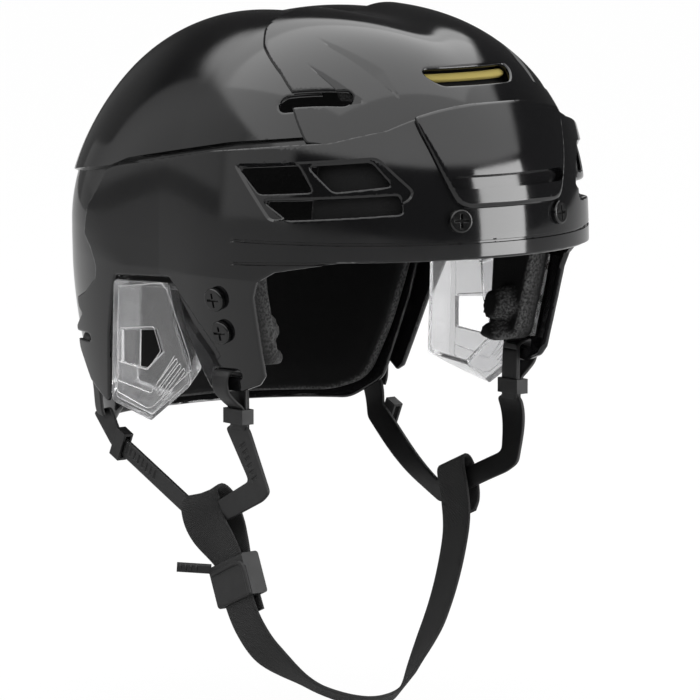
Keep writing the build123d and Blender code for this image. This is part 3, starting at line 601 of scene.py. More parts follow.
def makeRearShell():
    raised, tucked, raisedBack, tuckedBack = (formPoints(form[start], form["domePower"], coarse, tuck)
                                              for start in ("rearInset", "rearBack")
                                              for tuck in (0, form["tuck"]))
    line = sideView("rearLine") + [(-farOff, rearLook["lineTop"]), (-farOff, farOff), (farOff, farOff)]
    above = sideDepth(raised, line)
    blend = rearLook["blend"]
    outer = tucked + (raised - tucked) * smooth(-blend, blend, above)[:, None]
    field = sideDepth(outer, rounded(sideView("rear"), rearLook["corner"]))
    field = np.where(outer[:, 1] > 0, np.minimum(field, -exhaustDepth(outer)), field)
    field = np.minimum(field, -crownSlotDepth(outer))
    lift, liftBack = raised - tucked, raisedBack - tuckedBack
    step, crease = rearLook["step"], rearLook["crease"]
    creases = [(above, (-step, -crease, crease, step, *rearLook["backStep"]))]
    creases += [(move[:, k], ()) for move in (lift, liftBack) for k in range(3)]
    return shell("rearShell", tucked, tuckedBack, coarse["faces"], field, rearLook["edge"],
                 creases=creases, relief=stepUp)


frontShell = makeFrontShell()
print("front shell", len(frontShell.data.polygons))
rearShell = makeRearShell()
print("rear shell", len(rearShell.data.polygons))

# Foam pads: their edges, their fuller middles, and the hollows for the strip and the nuts
padLook = {
    "corner": 8.0, "edge": 3.2, "sharp": 60, "crown": 1.2, "crownRun": 14.0, "fill": 0.7,
    "slotClear": 1.5, "channel": 0.34, "channelCorner": 2.0, "channelEdge": 0.6, "templeGap": 2.6,
    "nuts": 0.85, "nutReach": (6.4, 9.0), "cutFacing": (0.35, 0.7), "headMiddle": (0.0, 0.0, -20.0),
}
nutPlaces = [(-39.5, -35.7), (-39.5, -51.7)]
# each pad's node, the form it lies on, its body, how many there are and how thick it is
pads = {
    "browFoam": ("brow_foam", "front", "front", 1, 10.0),
    "crownFrontFoam": ("crown_front_foam", "front", "front", 1, 10.0),
    "templeFoam": ("temple_foam", "front", "front", 2, 14.0),
    "crownRearFoam": ("crown_rear_foam", "rear", "rear", 1, 10.0),
    "sideFoam": ("side_foam", "rear", "rear", 2, 10.0),
    "rearFoam": ("rear_foam", "rear", "rear", 1, 10.0),
    "napeFoam": ("nape_foam", "rear", "rear", 1, 10.0),
}
padFaces = {}
for side, start, tuck in (("front", form["frontFoam"], 0.0), ("rear", form["rearFoam"], form["tuck"])):
    padFaces[side] = [formPoints(start + deep, form["domePower"], coarse, tuck) for deep in (0, form["foam"])]


def makePad(name, side, half, deep):
    # a pad between two forms, fuller in the middle than along its edge
    outer, inner = padFaces[side]
    field = sideDepth(outer, rounded(sideView(name), padLook["corner"]))
    if half:
        field = np.minimum(field, outer[:, 0] * half)
    if side == "front":
        field = np.minimum(field, -crownSlotDepth(outer, padLook["slotClear"]))
        channel = frontDepth(outer, frontView("stripChannel"), padLook["channelCorner"])
        edge = padLook["channelEdge"]
        outer = outer + (inner - outer) * (padLook["channel"] * smooth(-edge, edge, channel))[:, None]
        for y, z in nutPlaces:
            off = np.hypot(outer[:, 1] - y, outer[:, 2] - z)
            share = padLook["nuts"] * (1 - smooth(*padLook["nutReach"], off))
            outer = outer + (inner - outer) * share[:, None]
    gap = padFaces[side][1] - padFaces[side][0]
    gap = gap / np.maximum(np.linalg.norm(gap, axis=1), 1e-9)[:, None]
    inner = inner + gap * (deep - form["foam"])
    if name == "templeFoam":
        # these two are cut square to the head's side and stand off the wall
        gap = np.broadcast_to(np.array([-half, 0.0, 0.0]), outer.shape)
        outer = outer + gap * padLook["templeGap"]
        inner = outer + gap * deep
    dome = padLook["crown"] * (1 - smooth(0, padLook["crownRun"], field))
    pad = shell(name, outer, inner - gap * dome[:, None], coarse["faces"], field, padLook["edge"],
                padLook["sharp"])
    markEdges(pad)
    return pad


def markEdges(pad):
    # tells the finish where the cut sides of the foam are: faces that look along the wall
    mesh = pad.data
    places, normal = np.zeros(len(mesh.vertices) * 3), np.zeros(len(mesh.vertices) * 3)
    mesh.vertices.foreach_get("co", places)
    mesh.vertex_normals.foreach_get("vector", normal)
    out = places.reshape(-1, 3) - np.array(padLook["headMiddle"]) * mm
    out /= np.linalg.norm(out, axis=1)[:, None]
    flat = np.abs((out * normal.reshape(-1, 3)).sum(1))
    edge = mesh.attributes.new("edge", "FLOAT", "POINT")
    edge.data.foreach_set("value", 1 - smooth(*padLook["cutFacing"], flat))


foamPieces = {}
for name, (node, side, body, count, deep) in pads.items():
    for half, ending in ((0, ""),) if count == 1 else ((-1, "_right"), (1, "_left")):
        pad = makePad(name, side, half, deep)
        pad.name = node.replace("_foam", "Foam") + ending
        foamPieces[node + ending] = pad
        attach(pad, body)
        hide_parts(node + ending)
print("foam pads", len(foamPieces))


def smoothPath(points, step, parts=24):
    # an even run of places along a smooth line through the points
    points = np.asarray(points, float)
    ends = np.concatenate([[2 * points[0] - points[1]], points, [2 * points[-1] - points[-2]]])
    dense = []
    for a, b, c, d in zip(ends, ends[1:], ends[2:], ends[3:]):
        for t in np.linspace(0, 1, parts, endpoint=False):
            dense.append(0.5 * (2 * b + (c - a) * t + (2 * a - 5 * b + 4 * c - d) * t ** 2
                                + (3 * b - a - 3 * c + d) * t ** 3))
    dense = np.array(dense + [points[-1]])
    lengths = np.concatenate([[0], np.cumsum(np.linalg.norm(np.diff(dense, axis=0), axis=1))])
    count = max(4, int(lengths[-1] / step))
    places = np.linspace(0, lengths[-1], count + 1)
    return np.stack([np.interp(places, lengths, dense[:, k]) for k in range(points.shape[1])], 1)


def alongPath(path, closed):
    # the way the path runs at each of its places
    along = np.roll(path, -1, axis=0) - np.roll(path, 1, axis=0)
    if not closed:
        along[0], along[-1] = path[1] - path[0], path[-1] - path[-2]
    return along


# A strap's section: how its edge rounds off, its places across the flat, and the scale of its weave
strapLook = {"edge": (0.25, 0.75), "flat": (-1, -0.6, -0.2, 0.2, 0.6, 1), "sharp": 60, "weave": 0.01}


def ribbon(name, path, wides, width, thick, closed=False):
    # a flat strap: the path of its middle, the way its width runs at each place, and its section
    half, lip = width / 2, thick / 2
    inward, outward = strapLook["edge"]
    ring = [(-half, 0.0), (-half + inward * lip, outward * lip)]
    ring += [(x * (half - lip), lip) for x in strapLook["flat"]]
    ring += [(half - inward * lip, outward * lip), (half, 0.0)]
    ring += [(x, -y) for x, y in ring[-2:0:-1]]
    across = np.array(ring)
    count, size = len(path), len(ring)
    along = alongPath(path, closed)
    along /= np.linalg.norm(along, axis=1)[:, None]
    wides = np.broadcast_to(wides, path.shape)
    wides = wides - (wides * along).sum(1)[:, None] * along
    wides = wides / np.linalg.norm(wides, axis=1)[:, None]
    up = np.cross(along, wides)
    points = path[:, None] + wides[:, None] * across[None, :, :1] + up[:, None] * across[None, :, 1:]
    rings = np.arange(count * size).reshape(count, size)
    faces = []
    for i in range(count if closed else count - 1):
        a, b = rings[i], rings[(i + 1) % count]
        faces += [[a[k], a[(k + 1) % size], b[(k + 1) % size], b[k]] for k in range(size)]
    if not closed:
        faces += [list(rings[0][::-1]), list(rings[-1])]
    obj = addMesh(name, points.reshape(-1, 3), faces, strapLook["sharp"])
    # where the weave lies: across the strap and along it
    run = np.concatenate([[0], np.cumsum(np.linalg.norm(np.diff(path, axis=0), axis=1))])
    places = np.stack([np.tile(across[:, 0], count), np.repeat(run, size)], 1)
    layer = obj.data.uv_layers.new(name="weave")
    vertices = np.zeros(len(obj.data.loops), int)
    obj.data.loops.foreach_get("vertex_index", vertices)
    layer.data.foreach_set("uv", (places[vertices] * strapLook["weave"]).ravel())
    return obj


def join(base, others):
    # one object from several
    with bpy.context.temp_override(active_object=base, selected_editable_objects=[base, *others]):
        bpy.ops.object.join()
    return base


def own(obj, body, slot, *nodes):
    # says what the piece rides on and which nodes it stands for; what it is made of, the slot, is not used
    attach(obj, body)
    if nodes:
        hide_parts(*nodes)
    return obj


own(frontShell, "front", "shell", "front_shell")
own(rearShell, "rear", "rear_shell", "rear_shell")

# Comfort strip: the yellow foam behind the forehead slot
strip = {"front": 3.95, "back": 6.4, "corner": 2.0, "edge": 0.8, "fill": 0.9}


def makeStrip():
    outer, inner = (formPoints(strip[k], form["domePower"], coarse) for k in ("front", "back"))
    field = frontDepth(outer, frontView("comfortStrip"), strip["corner"])
    return shell("comfortStrip", outer, inner, coarse["faces"], field, strip["edge"])


comfortStrip = own(makeStrip(), "front", "comfort", "comfort_strip")

# Slings: the moulded plate under each ear and its two folds through the shell's slots
sling = {
    "place": 82.0, "thick": 2.0, "round": 2.6, "bend": 21.0, "bendTop": -82.0, "bendLow": -126.0,
    "outline": [(-29.4, -55.5), (-29.4, -81.0), (-25.2, -82.7), (-42.5, -105.8), (-19.5, -117.5),
                (-6.7, -123.4), (13.8, -114.0), (56.6, -94.5), (64.1, -82.7), (77.0, -86.6),
                (62.7, -101.3), (21.0, -120.5), (-8.0, -133.8), (-26.4, -126.1), (-52.3, -114.3),
                (-57.4, -109.8), (-42.3, -82.1), (-40.5, -81.0), (-40.5, -55.5)],
    "frontRibs": ((-37.5, -88.0), (-50.0, -109.0), 6), "rearRibs": ((58.0, -97.5), (24.0, -113.5), 10),
    "ribPitch": 3.4, "ribDeep": 0.5, "ribShare": 0.27, "ribHalf": 2.6, "ribInset": 1.2, "ribSlope": 0.4,
    "edge": 0.7, "gridY": (-60, 79), "gridZ": (-136, -54), "step": 0.8,
    "foldWidth": 11.0, "foldThick": 1.6,
    "frontFold": (90.7, -35.0, -55.5), "rearFold": (88.2, 70.6, -48.8), "rearOut": (-0.9337, 0.358, 0),
    "frontRun": [(-9.6, -27.0), (-9.5, -12.0), (-8.6, -2.0), (-5.0, 0.6), (-0.5, 0.9), (2.1, -0.8),
                 (2.6, -5.0), (1.2, -9.5), (-3.0, -13.6), (-6.6, -16.8), (-7.8, -21.0), (-7.9, -27.0)],
    "rearRun": [(-10.2, -29.0), (-8.0, -14.0), (-6.0, -2.0), (-3.5, 0.7), (0.0, 0.9), (2.0, -1.0),
                (1.6, -6.0), (-0.6, -14.0), (-2.6, -24.0), (-3.6, -34.0), (-4.6, -38.0)],
}


def ribDepth(y, z, ribs):
    # distance inside a row of short bars from one place towards another
    start, end, count = ribs
    start, run = np.array(start), np.array(end) - np.array(start)
    run = run / np.linalg.norm(run)
    along = (y - start[0]) * run[0] + (z - start[1]) * run[1]
    off = (y - start[0]) * run[1] - (z - start[1]) * run[0]
    pitch = sling["ribPitch"]
    place = np.abs((along % pitch) - pitch / 2)
    bars = np.minimum(pitch * sling["ribShare"] - place, sling["ribHalf"] - np.abs(off))
    return np.where((along > 0) & (along < pitch * count), bars, outside)


def slingRelief(outer, inner, carried):
    deep = sling["ribDeep"] * smooth(0, sling["ribSlope"], carried[0])
    return outer - np.stack([deep, 0 * deep, 0 * deep], 1), inner


def makeSlingPlate(name):
    # a flat grid in side view, given its outline and its ribs
    ys, zs = (np.arange(*sling[k], sling["step"]) for k in ("gridY", "gridZ"))
    y, z = (a.ravel() for a in np.meshgrid(ys, zs, indexing="ij"))
    index = np.arange(len(y)).reshape(len(ys), len(zs))
    faces = np.stack([index[:-1, :-1], index[1:, :-1], index[1:, 1:], index[:-1, 1:]], -1).reshape(-1, 4)
    outer = np.stack([np.full(len(y), sling["place"] + sling["thick"] / 2), y, z], 1)
    inner = outer - np.array([sling["thick"], 0, 0])
    field = inset(np.stack([y, z], 1), rounded(sling["outline"], sling["round"]))
    ribs = np.maximum(ribDepth(y, z, sling["frontRibs"]), ribDepth(y, z, sling["rearRibs"]))
    ribs = np.minimum(ribs, field - sling["ribInset"])
    return shell(name, outer, inner, faces, field, sling["edge"], creases=[(ribs, (0, sling["ribSlope"]))],
                 relief=slingRelief)


def makeFolds():
    # the two ends of the moulding, folded through the shell's slots
    path = smoothPath(sling["frontRun"], sling["step"])
    x, y, z = sling["frontFold"]
    front = np.stack([x + path[:, 0], np.full(len(path), y), z + path[:, 1]], 1)
    path = smoothPath(sling["rearRun"], sling["step"])
    out = np.array(sling["rearOut"]) * (-1, 1, 1)
    rear = np.array(sling["rearFold"]) + path[:, :1] * out + path[:, 1:] * np.array([0, 0, 1.0])
    runs = ((front, np.array([0, 1.0, 0])), (rear, np.cross(out, [0, 0, 1.0])))
    return [ribbon("fold", path, wide, sling["foldWidth"], sling["foldThick"]) for path, wide in runs]


def makeSling(name, side):
    # the left sling is bent inwards to where the webbing hangs, the right one is mirrored
    piece = join(makeSlingPlate(name), makeFolds())
    mesh = piece.data
    places = np.zeros(len(mesh.vertices) * 3)
    mesh.vertices.foreach_get("co", places)
    places = places.reshape(-1, 3)
    if side > 0:
        share = smooth(-sling["bendTop"], -sling["bendLow"], -places[:, 2] / mm)
        places[:, 0] -= mm * sling["bend"] * share
    else:
        places[:, 0] *= -1
        mesh.flip_normals()
    mesh.vertices.foreach_set("co", places.ravel())
    mesh.update()
    return piece


slingRight = own(makeSling("slingRight", -1), "front", "sling", "sling_right")
slingLeft = own(makeSling("slingLeft", 1), "front", "sling", "sling_left")
print("slings")

# Chin webbing, drawn in the plane it hangs in: across the head and up the plane
chin = {
    "origin": (0, -20.445, -122.988), "up": (0, 0.3907, 0.9205), "out": (0, -0.9205, 0.3907),
    "width": 21.0, "thick": 1.6, "step": 1.2,
    "run": [(-79.6, -50.0), (-79.8, -42.0), (-79.8, -33.0), (-79.6, -25.0), (-78.2, -17.0),
            (-76.4, -8.0), (-75.6, 0.0), (-76.4, 6.0), (-79.2, 10.2), (-82.4, 11.3), (-85.2, 9.4),
            (-86.6, 4.0), (-86.4, -6.0), (-85.2, -16.0), (-84.4, -24.0), (-84.2, -33.0), (-84.2, -44.0),
            (-82.0, -56.0), (-76.4, -68.0), (-65.5, -79.5), (-52.0, -88.5), (-37.0, -95.0), (-23.0, -98.0),
            (-10.0, -97.0), (0.5, -91.5), (9.5, -82.5), (22.5, -68.5), (35.0, -52.5), (45.6, -36.0),
            (53.8, -20.0), (57.4, -6.0), (58.6, 4.0), (59.8, 9.6), (62.0, 11.2), (64.2, 9.4), (65.2, 4.0),
            (64.6, -4.0), (62.6, -11.0), (59.0, -16.0)],
    "turn": 24.0, "turnTop": 2.0, "turnLow": -24.0, "back": 8.0,
    "twist": -36.0, "twistShares": (0.38, 0.46, 0.56, 0.70),
}


def makeWebbing():
    flat = smoothPath(chin["run"], chin["step"])
    origin, up, out = (np.array(chin[k], float) for k in ("origin", "up", "out"))
    path = origin + flat[:, :1] * np.array([1.0, 0, 0]) + flat[:, 1:] * up
    # near the right sling the strap turns to face outwards and lies further back
    near = smooth(chin["turnLow"], chin["turnTop"], flat[:, 1]) * (flat[:, 0] < 0)
    share = np.linspace(0, 1, len(path))
    start, full, held, end = chin["twistShares"]
    twist = smooth(start, full, share) * (1 - smooth(held, end, share))
    turn = np.radians(chin["turn"] * near + chin["twist"] * twist)
    wides = np.cos(turn)[:, None] * out + np.sin(turn)[:, None] * np.array([1.0, 0, 0])
    path = path - out * (chin["back"] * near)[:, None]
    return ribbon("chinWebbing", path, wides, chin["width"], chin["thick"])


chinWebbing = own(makeWebbing(), "chin", "webbing", "chin_webbing")
print("webbing")

# Ladder lock's release tab, a ribbed lip that stands out backwards, and the bar it is part of
tab = {
    "out": (-0.76, 0.64, 0.06), "wide": (0.05, 0.0, 1.0), "reach": 16.0, "width": 4.6, "thick": 2.0,
    "sunk": 1.0, "places": 6, "ribs": (6.5, 9.0, 11.5, 14.0), "ribThick": 2.8, "ribRun": 0.9,
    "ribShort": 1.0, "rise": 0.92, "bar": 2.2, "barStep": 0.05,
    "barRun": [(-0.9, 0.62), (0.4, 0.66), (0.78, 0.60), (0.93, 0.40), (0.95, -0.2), (0.95, -0.95)],
}


def lockFace():
    # the outer side of the lock: its middle, and half its size across and up the strap's plane
    low, high = (np.array(c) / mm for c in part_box("ladder_lock"))
    middle, half = (low + high) / 2, (high - low) / 2
    up = chin["up"]
    share = up[2] ** 2 - up[1] ** 2
    reach, rise = ((up[2] * half[k] - up[1] * half[3 - k]) / share for k in (1, 2))
    return middle - np.array([half[0], 0, 0]), reach, rise


def makeTab():
    side, reach, rise = lockFace()
    up, front, wide = (np.array(v) for v in (chin["up"], chin["out"], tab["wide"]))
    sunk = tab["sunk"]
    start = side + np.array([sunk, 0, 0]) - front * (reach - sunk) + up * rise * tab["rise"]
    out = np.array(tab["out"]) / np.linalg.norm(tab["out"])
    run = np.linspace(0, tab["reach"], tab["places"])[:, None]
    lip = ribbon("lockTab", start + out * run, wide, tab["width"], tab["thick"])
    others = []
    for place in tab["ribs"]:
        run = np.array([place, place + tab["ribRun"]])[:, None]
        others.append(ribbon("rib", start + out * run, wide, tab["width"] - tab["ribShort"], tab["ribThick"]))
    flat = smoothPath(tab["barRun"], tab["barStep"])
    path = side + flat[:, :1] * reach * front + flat[:, 1:] * rise * up
    others.append(ribbon("bar", path, np.array([1.0, 0, 0]), tab["bar"], tab["bar"]))
    return join(lip, others)


lockTab = own(makeTab(), "buckle", "buckle")

# Raised lines on the clear guards, drawn over the photograph in pixels and laid on the guard's plane
photo = {"middle": 350, "scale": 2.12, "across": (-0.6267, -88.85), "up": (0.9913, 0.0825, 0.1026, 55.56),
         "plane": 102.5}
guardLines = {
    "place": 102.7, "width": 0.5, "thick": 0.36, "round": 1.2,
    "window": [(164.5, 351), (157.5, 327), (123, 328), (121.5, 361), (151, 369.5)],
    "rim": [(121, 372), (121.5, 287), (165, 284), (171, 291), (192, 352), (196, 369), (156, 406), (150, 407),
            (120, 391)],
    "chevron": [(121, 380), (154.3, 392.3), (178.6, 355.6)],
    "bars": [(157.5, 387.0), (161.0, 392.0), (165.0, 396.6)], "barRun": (22.5, -29.0), "barSide": (2.0, 3.2),
}


def guardPlace(pixel):
    # where a pixel of the photograph lies on the guard's plane, as side-view places in millimetres
    u, v = ((p - photo["middle"]) / photo["scale"] for p in pixel)
    slope, offset = photo["across"]
    rise, lean, tilt, level = photo["up"]
    y = (u - offset) / slope
    return y, (lean * photo["plane"] - tilt * y - level - v) / rise


def makeLine(pixels, closed, side):
    points = [guardPlace(p) for p in pixels]
    path = rounded(points, guardLines["round"])
    if not closed:
        # the ends stay where they are, and their rounded corners go
        corner = len(path) // len(points)
        path = np.concatenate([points[:1], path[corner:-corner], points[-1:]])
    along = alongPath(path, closed)
    wides = np.stack([np.zeros(len(path)), -along[:, 1], along[:, 0]], 1)
    path = np.stack([np.full(len(path), side * guardLines["place"]), path[:, 0], path[:, 1]], 1)
    return ribbon("line", path, wides, guardLines["width"], guardLines["thick"], closed=closed)


def makeGuardLines(name, side):
    lines = [makeLine(guardLines[k], k != "chevron", side) for k in ("window", "rim", "chevron")]
    for x, y in guardLines["bars"]:
        run, wide = guardLines["barRun"], guardLines["barSide"]
        ring = [(x, y), (x + run[0], y + run[1]), (x + run[0] + wide[0], y + run[1] + wide[1]),
                (x + wide[0], y + wide[1])]
        lines.append(makeLine(ring, True, side))
    piece = join(lines[0], lines[1:])
    piece.name = name
    return piece


guardLineRight = own(makeGuardLines("guardLinesRight", -1), "front", "clear_guard")
guardLineLeft = own(makeGuardLines("guardLinesLeft", 1), "front", "clear_guard")
print("tab and guard lines")

# Finishes: every number that is the same all over sits on the shader itself
looks = {
    "shellBlack": {"colour": (0.0065, 0.0065, 0.007), "rough": (0.07, 0.12), "noise": 60.0,
                   "bump": 0.012, "grain": 300.0, "soft": 0.0},
    "strapBlack": {"colour": (0.006, 0.006, 0.0063), "rough": (0.5, 0.6), "noise": 150.0,
                   "bump": 0.06, "grain": 1500.0, "soft": 0.0004},
    "screwBlack": {"colour": (0.004, 0.004, 0.0042), "rough": (0.14, 0.2), "noise": 300.0,
                   "bump": 0.05, "grain": 2500.0, "soft": 0.0003},
    "nutGrey": {"colour": (0.05, 0.05, 0.052), "rough": (0.35, 0.45), "noise": 300.0,
                "bump": 0.05, "grain": 2500.0, "soft": 0.0003},
    "comfortYellow": {"colour": (0.36, 0.29, 0.075), "rough": (0.75, 0.9), "noise": 300.0,
                      "bump": 0.25, "grain": 1800.0, "soft": 0.0},
}
plain = {"detail": 4, "shares": (0.3, 0.7), "bumpDeep": 0.0004, "edgeSamples": 6}  # the same for all of these


def newMaterial(name):
    material = bpy.data.materials.new(name)
    material.use_nodes = True
    return material, material.node_tree, material.node_tree.nodes["Principled BSDF"]


def addNoise(tree, scale, detail=2):
    # noise that stays fixed to the piece
    place = tree.nodes.new("ShaderNodeTexCoord")
    noise = tree.nodes.new("ShaderNodeTexNoise")
    noise.inputs["Scale"].default_value = scale
    noise.inputs["Detail"].default_value = detail
    tree.links.new(place.outputs["Object"], noise.inputs["Vector"])
    return noise.outputs["Fac"]


def spreadRough(tree, source, shares, rough, shader):
    spread = tree.nodes.new("ShaderNodeMapRange")
    spread.inputs["From Min"].default_value, spread.inputs["From Max"].default_value = shares
    spread.inputs["To Min"].default_value, spread.inputs["To Max"].default_value = rough
    tree.links.new(source, spread.inputs["Value"])
    tree.links.new(spread.outputs["Result"], shader.inputs["Roughness"])


def addBump(tree, source, strength, distance, shader):
    bump = tree.nodes.new("ShaderNodeBump")
    bump.inputs["Strength"].default_value = strength
    bump.inputs["Distance"].default_value = distance
    tree.links.new(source, bump.inputs["Height"])
    tree.links.new(bump.outputs["Normal"], shader.inputs["Normal"])
    return bump


def softEdges(tree, radius, taker):
    bevel = tree.nodes.new("ShaderNodeBevel")
    bevel.samples = plain["edgeSamples"]
    bevel.inputs["Radius"].default_value = radius
    tree.links.new(bevel.outputs["Normal"], taker.inputs["Normal"])


def addRamp(tree, source, colours, shares=(0, 1)):
    ramp = tree.nodes.new("ShaderNodeValToRGB")
    for element, colour, share in zip(ramp.color_ramp.elements, colours, shares):
        element.position = share
        element.color = (*colour, 1)
    tree.links.new(source, ramp.inputs["Fac"])
    return ramp.outputs["Color"]


def makeMaterial(name):
    look = looks[name]
    material, tree, shader = newMaterial(name)
    shader.inputs["Base Color"].default_value = (*look["colour"], 1)
    patches = addNoise(tree, look["noise"], plain["detail"])
    spreadRough(tree, patches, plain["shares"], look["rough"], shader)
    bump = addBump(tree, addNoise(tree, look["grain"]), look["bump"], plain["bumpDeep"], shader)
    if look["soft"]:
        softEdges(tree, look["soft"], bump)
    return material


foamLook = {
    "colour": (0.004, 0.004, 0.0042), "rough": 0.8, "specular": 0.25,
    "cells": 900, "detail": 3, "cellShares": (0.38, 0.66),
    "cellColours": ((0.012, 0.012, 0.012), (0.085, 0.085, 0.085)), "bump": 0.3, "bumpDeep": 0.0005,
}


def makeFoamMaterial():
    # smooth black faces, with the cut edges showing grey speckled cells
    material, tree, shader = newMaterial("foamBlack")
    shader.inputs["Roughness"].default_value = foamLook["rough"]
    shader.inputs["Specular IOR Level"].default_value = foamLook["specular"]
    cells = addNoise(tree, foamLook["cells"], foamLook["detail"])
    edge = tree.nodes.new("ShaderNodeAttribute")
    edge.attribute_name = "edge"
    tint = tree.nodes.new("ShaderNodeMix")
    tint.data_type = "RGBA"
    share, face, cut = (tint.inputs[k] for k in (0, 6, 7))  # the colour sockets of this node
    face.default_value = (*foamLook["colour"], 1)
    tree.links.new(edge.outputs["Fac"], share)
    tree.links.new(addRamp(tree, cells, foamLook["cellColours"], foamLook["cellShares"]), cut)
    tree.links.new(tint.outputs[2], shader.inputs["Base Color"])
    addBump(tree, cells, foamLook["bump"], foamLook["bumpDeep"], shader)
    return material


weaveLook = {
    "rough": 0.8, "sheen": 0.08, "sheenRough": 0.5, "rows": ((0, 62.0), (90, 45.0)), "distortion": 1.0,
    "detailScale": 3.0, "colours": ((0.002, 0.002, 0.002), (0.010, 0.010, 0.0105)), "bump": 0.7,
    "bumpDeep": 0.0005,
}


def makeWebbingMaterial():
    # ribbed weave: rows across the strap, with a fine twill in them
    material, tree, shader = newMaterial("webbingBlack")
    shader.inputs["Roughness"].default_value = weaveLook["rough"]
    shader.inputs["Sheen Weight"].default_value = weaveLook["sheen"]
    shader.inputs["Sheen Roughness"].default_value = weaveLook["sheenRough"]
    place = tree.nodes.new("ShaderNodeUVMap")
    place.uv_map = "weave"
    weave = tree.nodes.new("ShaderNodeMath")
    weave.operation = "MULTIPLY"
    for (turn, scale), height in zip(weaveLook["rows"], weave.inputs):
        mapping = tree.nodes.new("ShaderNodeMapping")
        mapping.inputs["Rotation"].default_value = (0, 0, math.radians(turn))
        wave = tree.nodes.new("ShaderNodeTexWave")
        wave.inputs["Scale"].default_value = scale
        wave.inputs["Distortion"].default_value = weaveLook["distortion"]
        wave.inputs["Detail Scale"].default_value = weaveLook["detailScale"]
        tree.links.new(place.outputs["UV"], mapping.inputs["Vector"])
        tree.links.new(mapping.outputs["Vector"], wave.inputs["Vector"])
        tree.links.new(wave.outputs["Fac"], height)
    tree.links.new(addRamp(tree, weave.outputs[0], weaveLook["colours"]), shader.inputs["Base Color"])
    addBump(tree, weave.outputs[0], weaveLook["bump"], weaveLook["bumpDeep"], shader)
    return material


clearLook = {
    "colour": (0.99, 0.99, 1.0), "through": 0.93, "ior": 1.49, "haze": 160, "detail": 5,
    "shares": (0.35, 0.7), "rough": (0.05, 0.22), "soft": 0.0009,
}


def makeClearMaterial():
    # clear plastic, a little milky, with fine marks in it
    material, tree, shader = newMaterial("guardClear")
    shader.inputs["Transmission Weight"].default_value = clearLook["through"]
    shader.inputs["IOR"].default_value = clearLook["ior"]
    shader.inputs["Base Color"].default_value = (*clearLook["colour"], 1)
    haze = addNoise(tree, clearLook["haze"], clearLook["detail"])
    spreadRough(tree, haze, clearLook["shares"], clearLook["rough"], shader)
    softEdges(tree, clearLook["soft"], shader)
    return material


materials = {name: makeMaterial(name) for name in looks}
materials["foamBlack"] = makeFoamMaterial()
materials["webbingBlack"] = makeWebbingMaterial()
materials["guardClear"] = makeClearMaterial()
piecePaint = {
    "shellBlack": (frontShell, rearShell),
    "strapBlack": (slingRight, slingLeft, lockTab),
    "foamBlack": foamPieces.values(),
    "comfortYellow": (comfortStrip,),
    "webbingBlack": (chinWebbing,),
    "guardClear": (guardLineRight, guardLineLeft),
}
for name, pieces in piecePaint.items():
    for obj in pieces:
        obj.data.materials.clear()
        obj.data.materials.append(materials[name])
# The nodes that show as the CAD made them; any other is plain black
nodePaint = {"side_screws": "screwBlack", "visor_screws": "screwBlack", "side_nuts": "nutGrey",
             "visor_nuts": "nutGrey", "ear_guard_right": "guardClear", "ear_guard_left": "guardClear"}
for name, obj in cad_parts.items():
    for slot in obj.material_slots:
        slot.material = materials[nodePaint.get(name, "strapBlack")]
print("finishes")

# Camera: where it stands and what it looks at, in metres
view = {"place": (-2.1146, -2.6436, 0.3936), "target": (0.00243, -0.01134, -0.05508), "lens": 371.65,
        "sensor": 36, "farthest": 50}


def aim(obj, place, target):
    obj.location = place
    obj.rotation_euler = (Vector(target) - Vector(place)).to_track_quat("-Z", "Y").to_euler()


camera = bpy.data.objects.new("camera", bpy.data.cameras.new("camera"))
bpy.context.scene.collection.objects.link(camera)
camera.data.lens = view["lens"]
camera.data.sensor_width = view["sensor"]
camera.data.clip_end = view["farthest"]
aim(camera, view["place"], view["target"])
bpy.context.scene.camera = camera

# Lamps, each turned to the helmet's middle
lamps = {
    "overhead": {"place": (0.1, 0.3, 1.6), "size": (2.4, 2.0), "power": 12},
    "window": {"place": (1.047, -1.887, 0.0), "size": (1.145, 1.5), "power": 48},
}
for name, lamp in lamps.items():
    light = bpy.data.lights.new(name, "AREA")
    light.shape = "RECTANGLE"
    light.size, light.size_y = lamp["size"]
    light.energy = lamp["power"]
    obj = bpy.data.objects.new(name, light)
    bpy.context.scene.collection.objects.link(obj)
    aim(obj, lamp["place"], (0, 0, 0))
print("camera and lamps")

# Studio: white where the camera looks past the helmet. Its gloss shows a ceiling that ends on the right,
# a wall on the left, a rear left part and a faint back wall, all on a dark ground. A pair of numbers is
# where that part fades in or out, as shares of the direction across, towards the back or upwards.
studio = {
    "dark": 0.05, "fill": 0.5,
    "ceiling": 1.9, "ceilingFade": (0.33, 0.38), "ceilingLean": 0.3, "rightFade": (0.67, 0.72),
    "wall": 0.85, "wallFade": (0.2, 0.4), "wallFront": (-0.10, -0.02), "wallEnd": (0.50, 0.62),
    "back": 0.1, "backFade": (0.86, 0.95),
    "rear": 0.22, "rearHigh": 0.26, "rearSide": 0.35, "rearFade": (0.45, 0.6), "rearEnd": (0.08, 0.14),
    "rearLean": 0.3, "rearLeanFade": (0.12, 0.25), "rearSideFade": (0.05, 0.45), "rearHighFade": (0.0, 0.06),
}
world = bpy.data.worlds.new("studio")
bpy.context.scene.world = world
world.use_nodes = True
worldNodes, worldLinks = world.node_tree.nodes, world.node_tree.links


def worldMath(operation, first, second):
    step = worldNodes.new("ShaderNodeMath")
    step.operation = operation
    for socket, value in zip(step.inputs, (first, second)):
        if isinstance(value, (int, float)):
            socket.default_value = value
        else:
            worldLinks.new(value, socket)
    return step.outputs[0]


def times(first, second):
    return worldMath("MULTIPLY", first, second)


def plus(first, second):
    return worldMath("ADD", first, second)


def minus(first, second):
    return worldMath("SUBTRACT", first, second)


def larger(first, second):
    return worldMath("MAXIMUM", first, second)


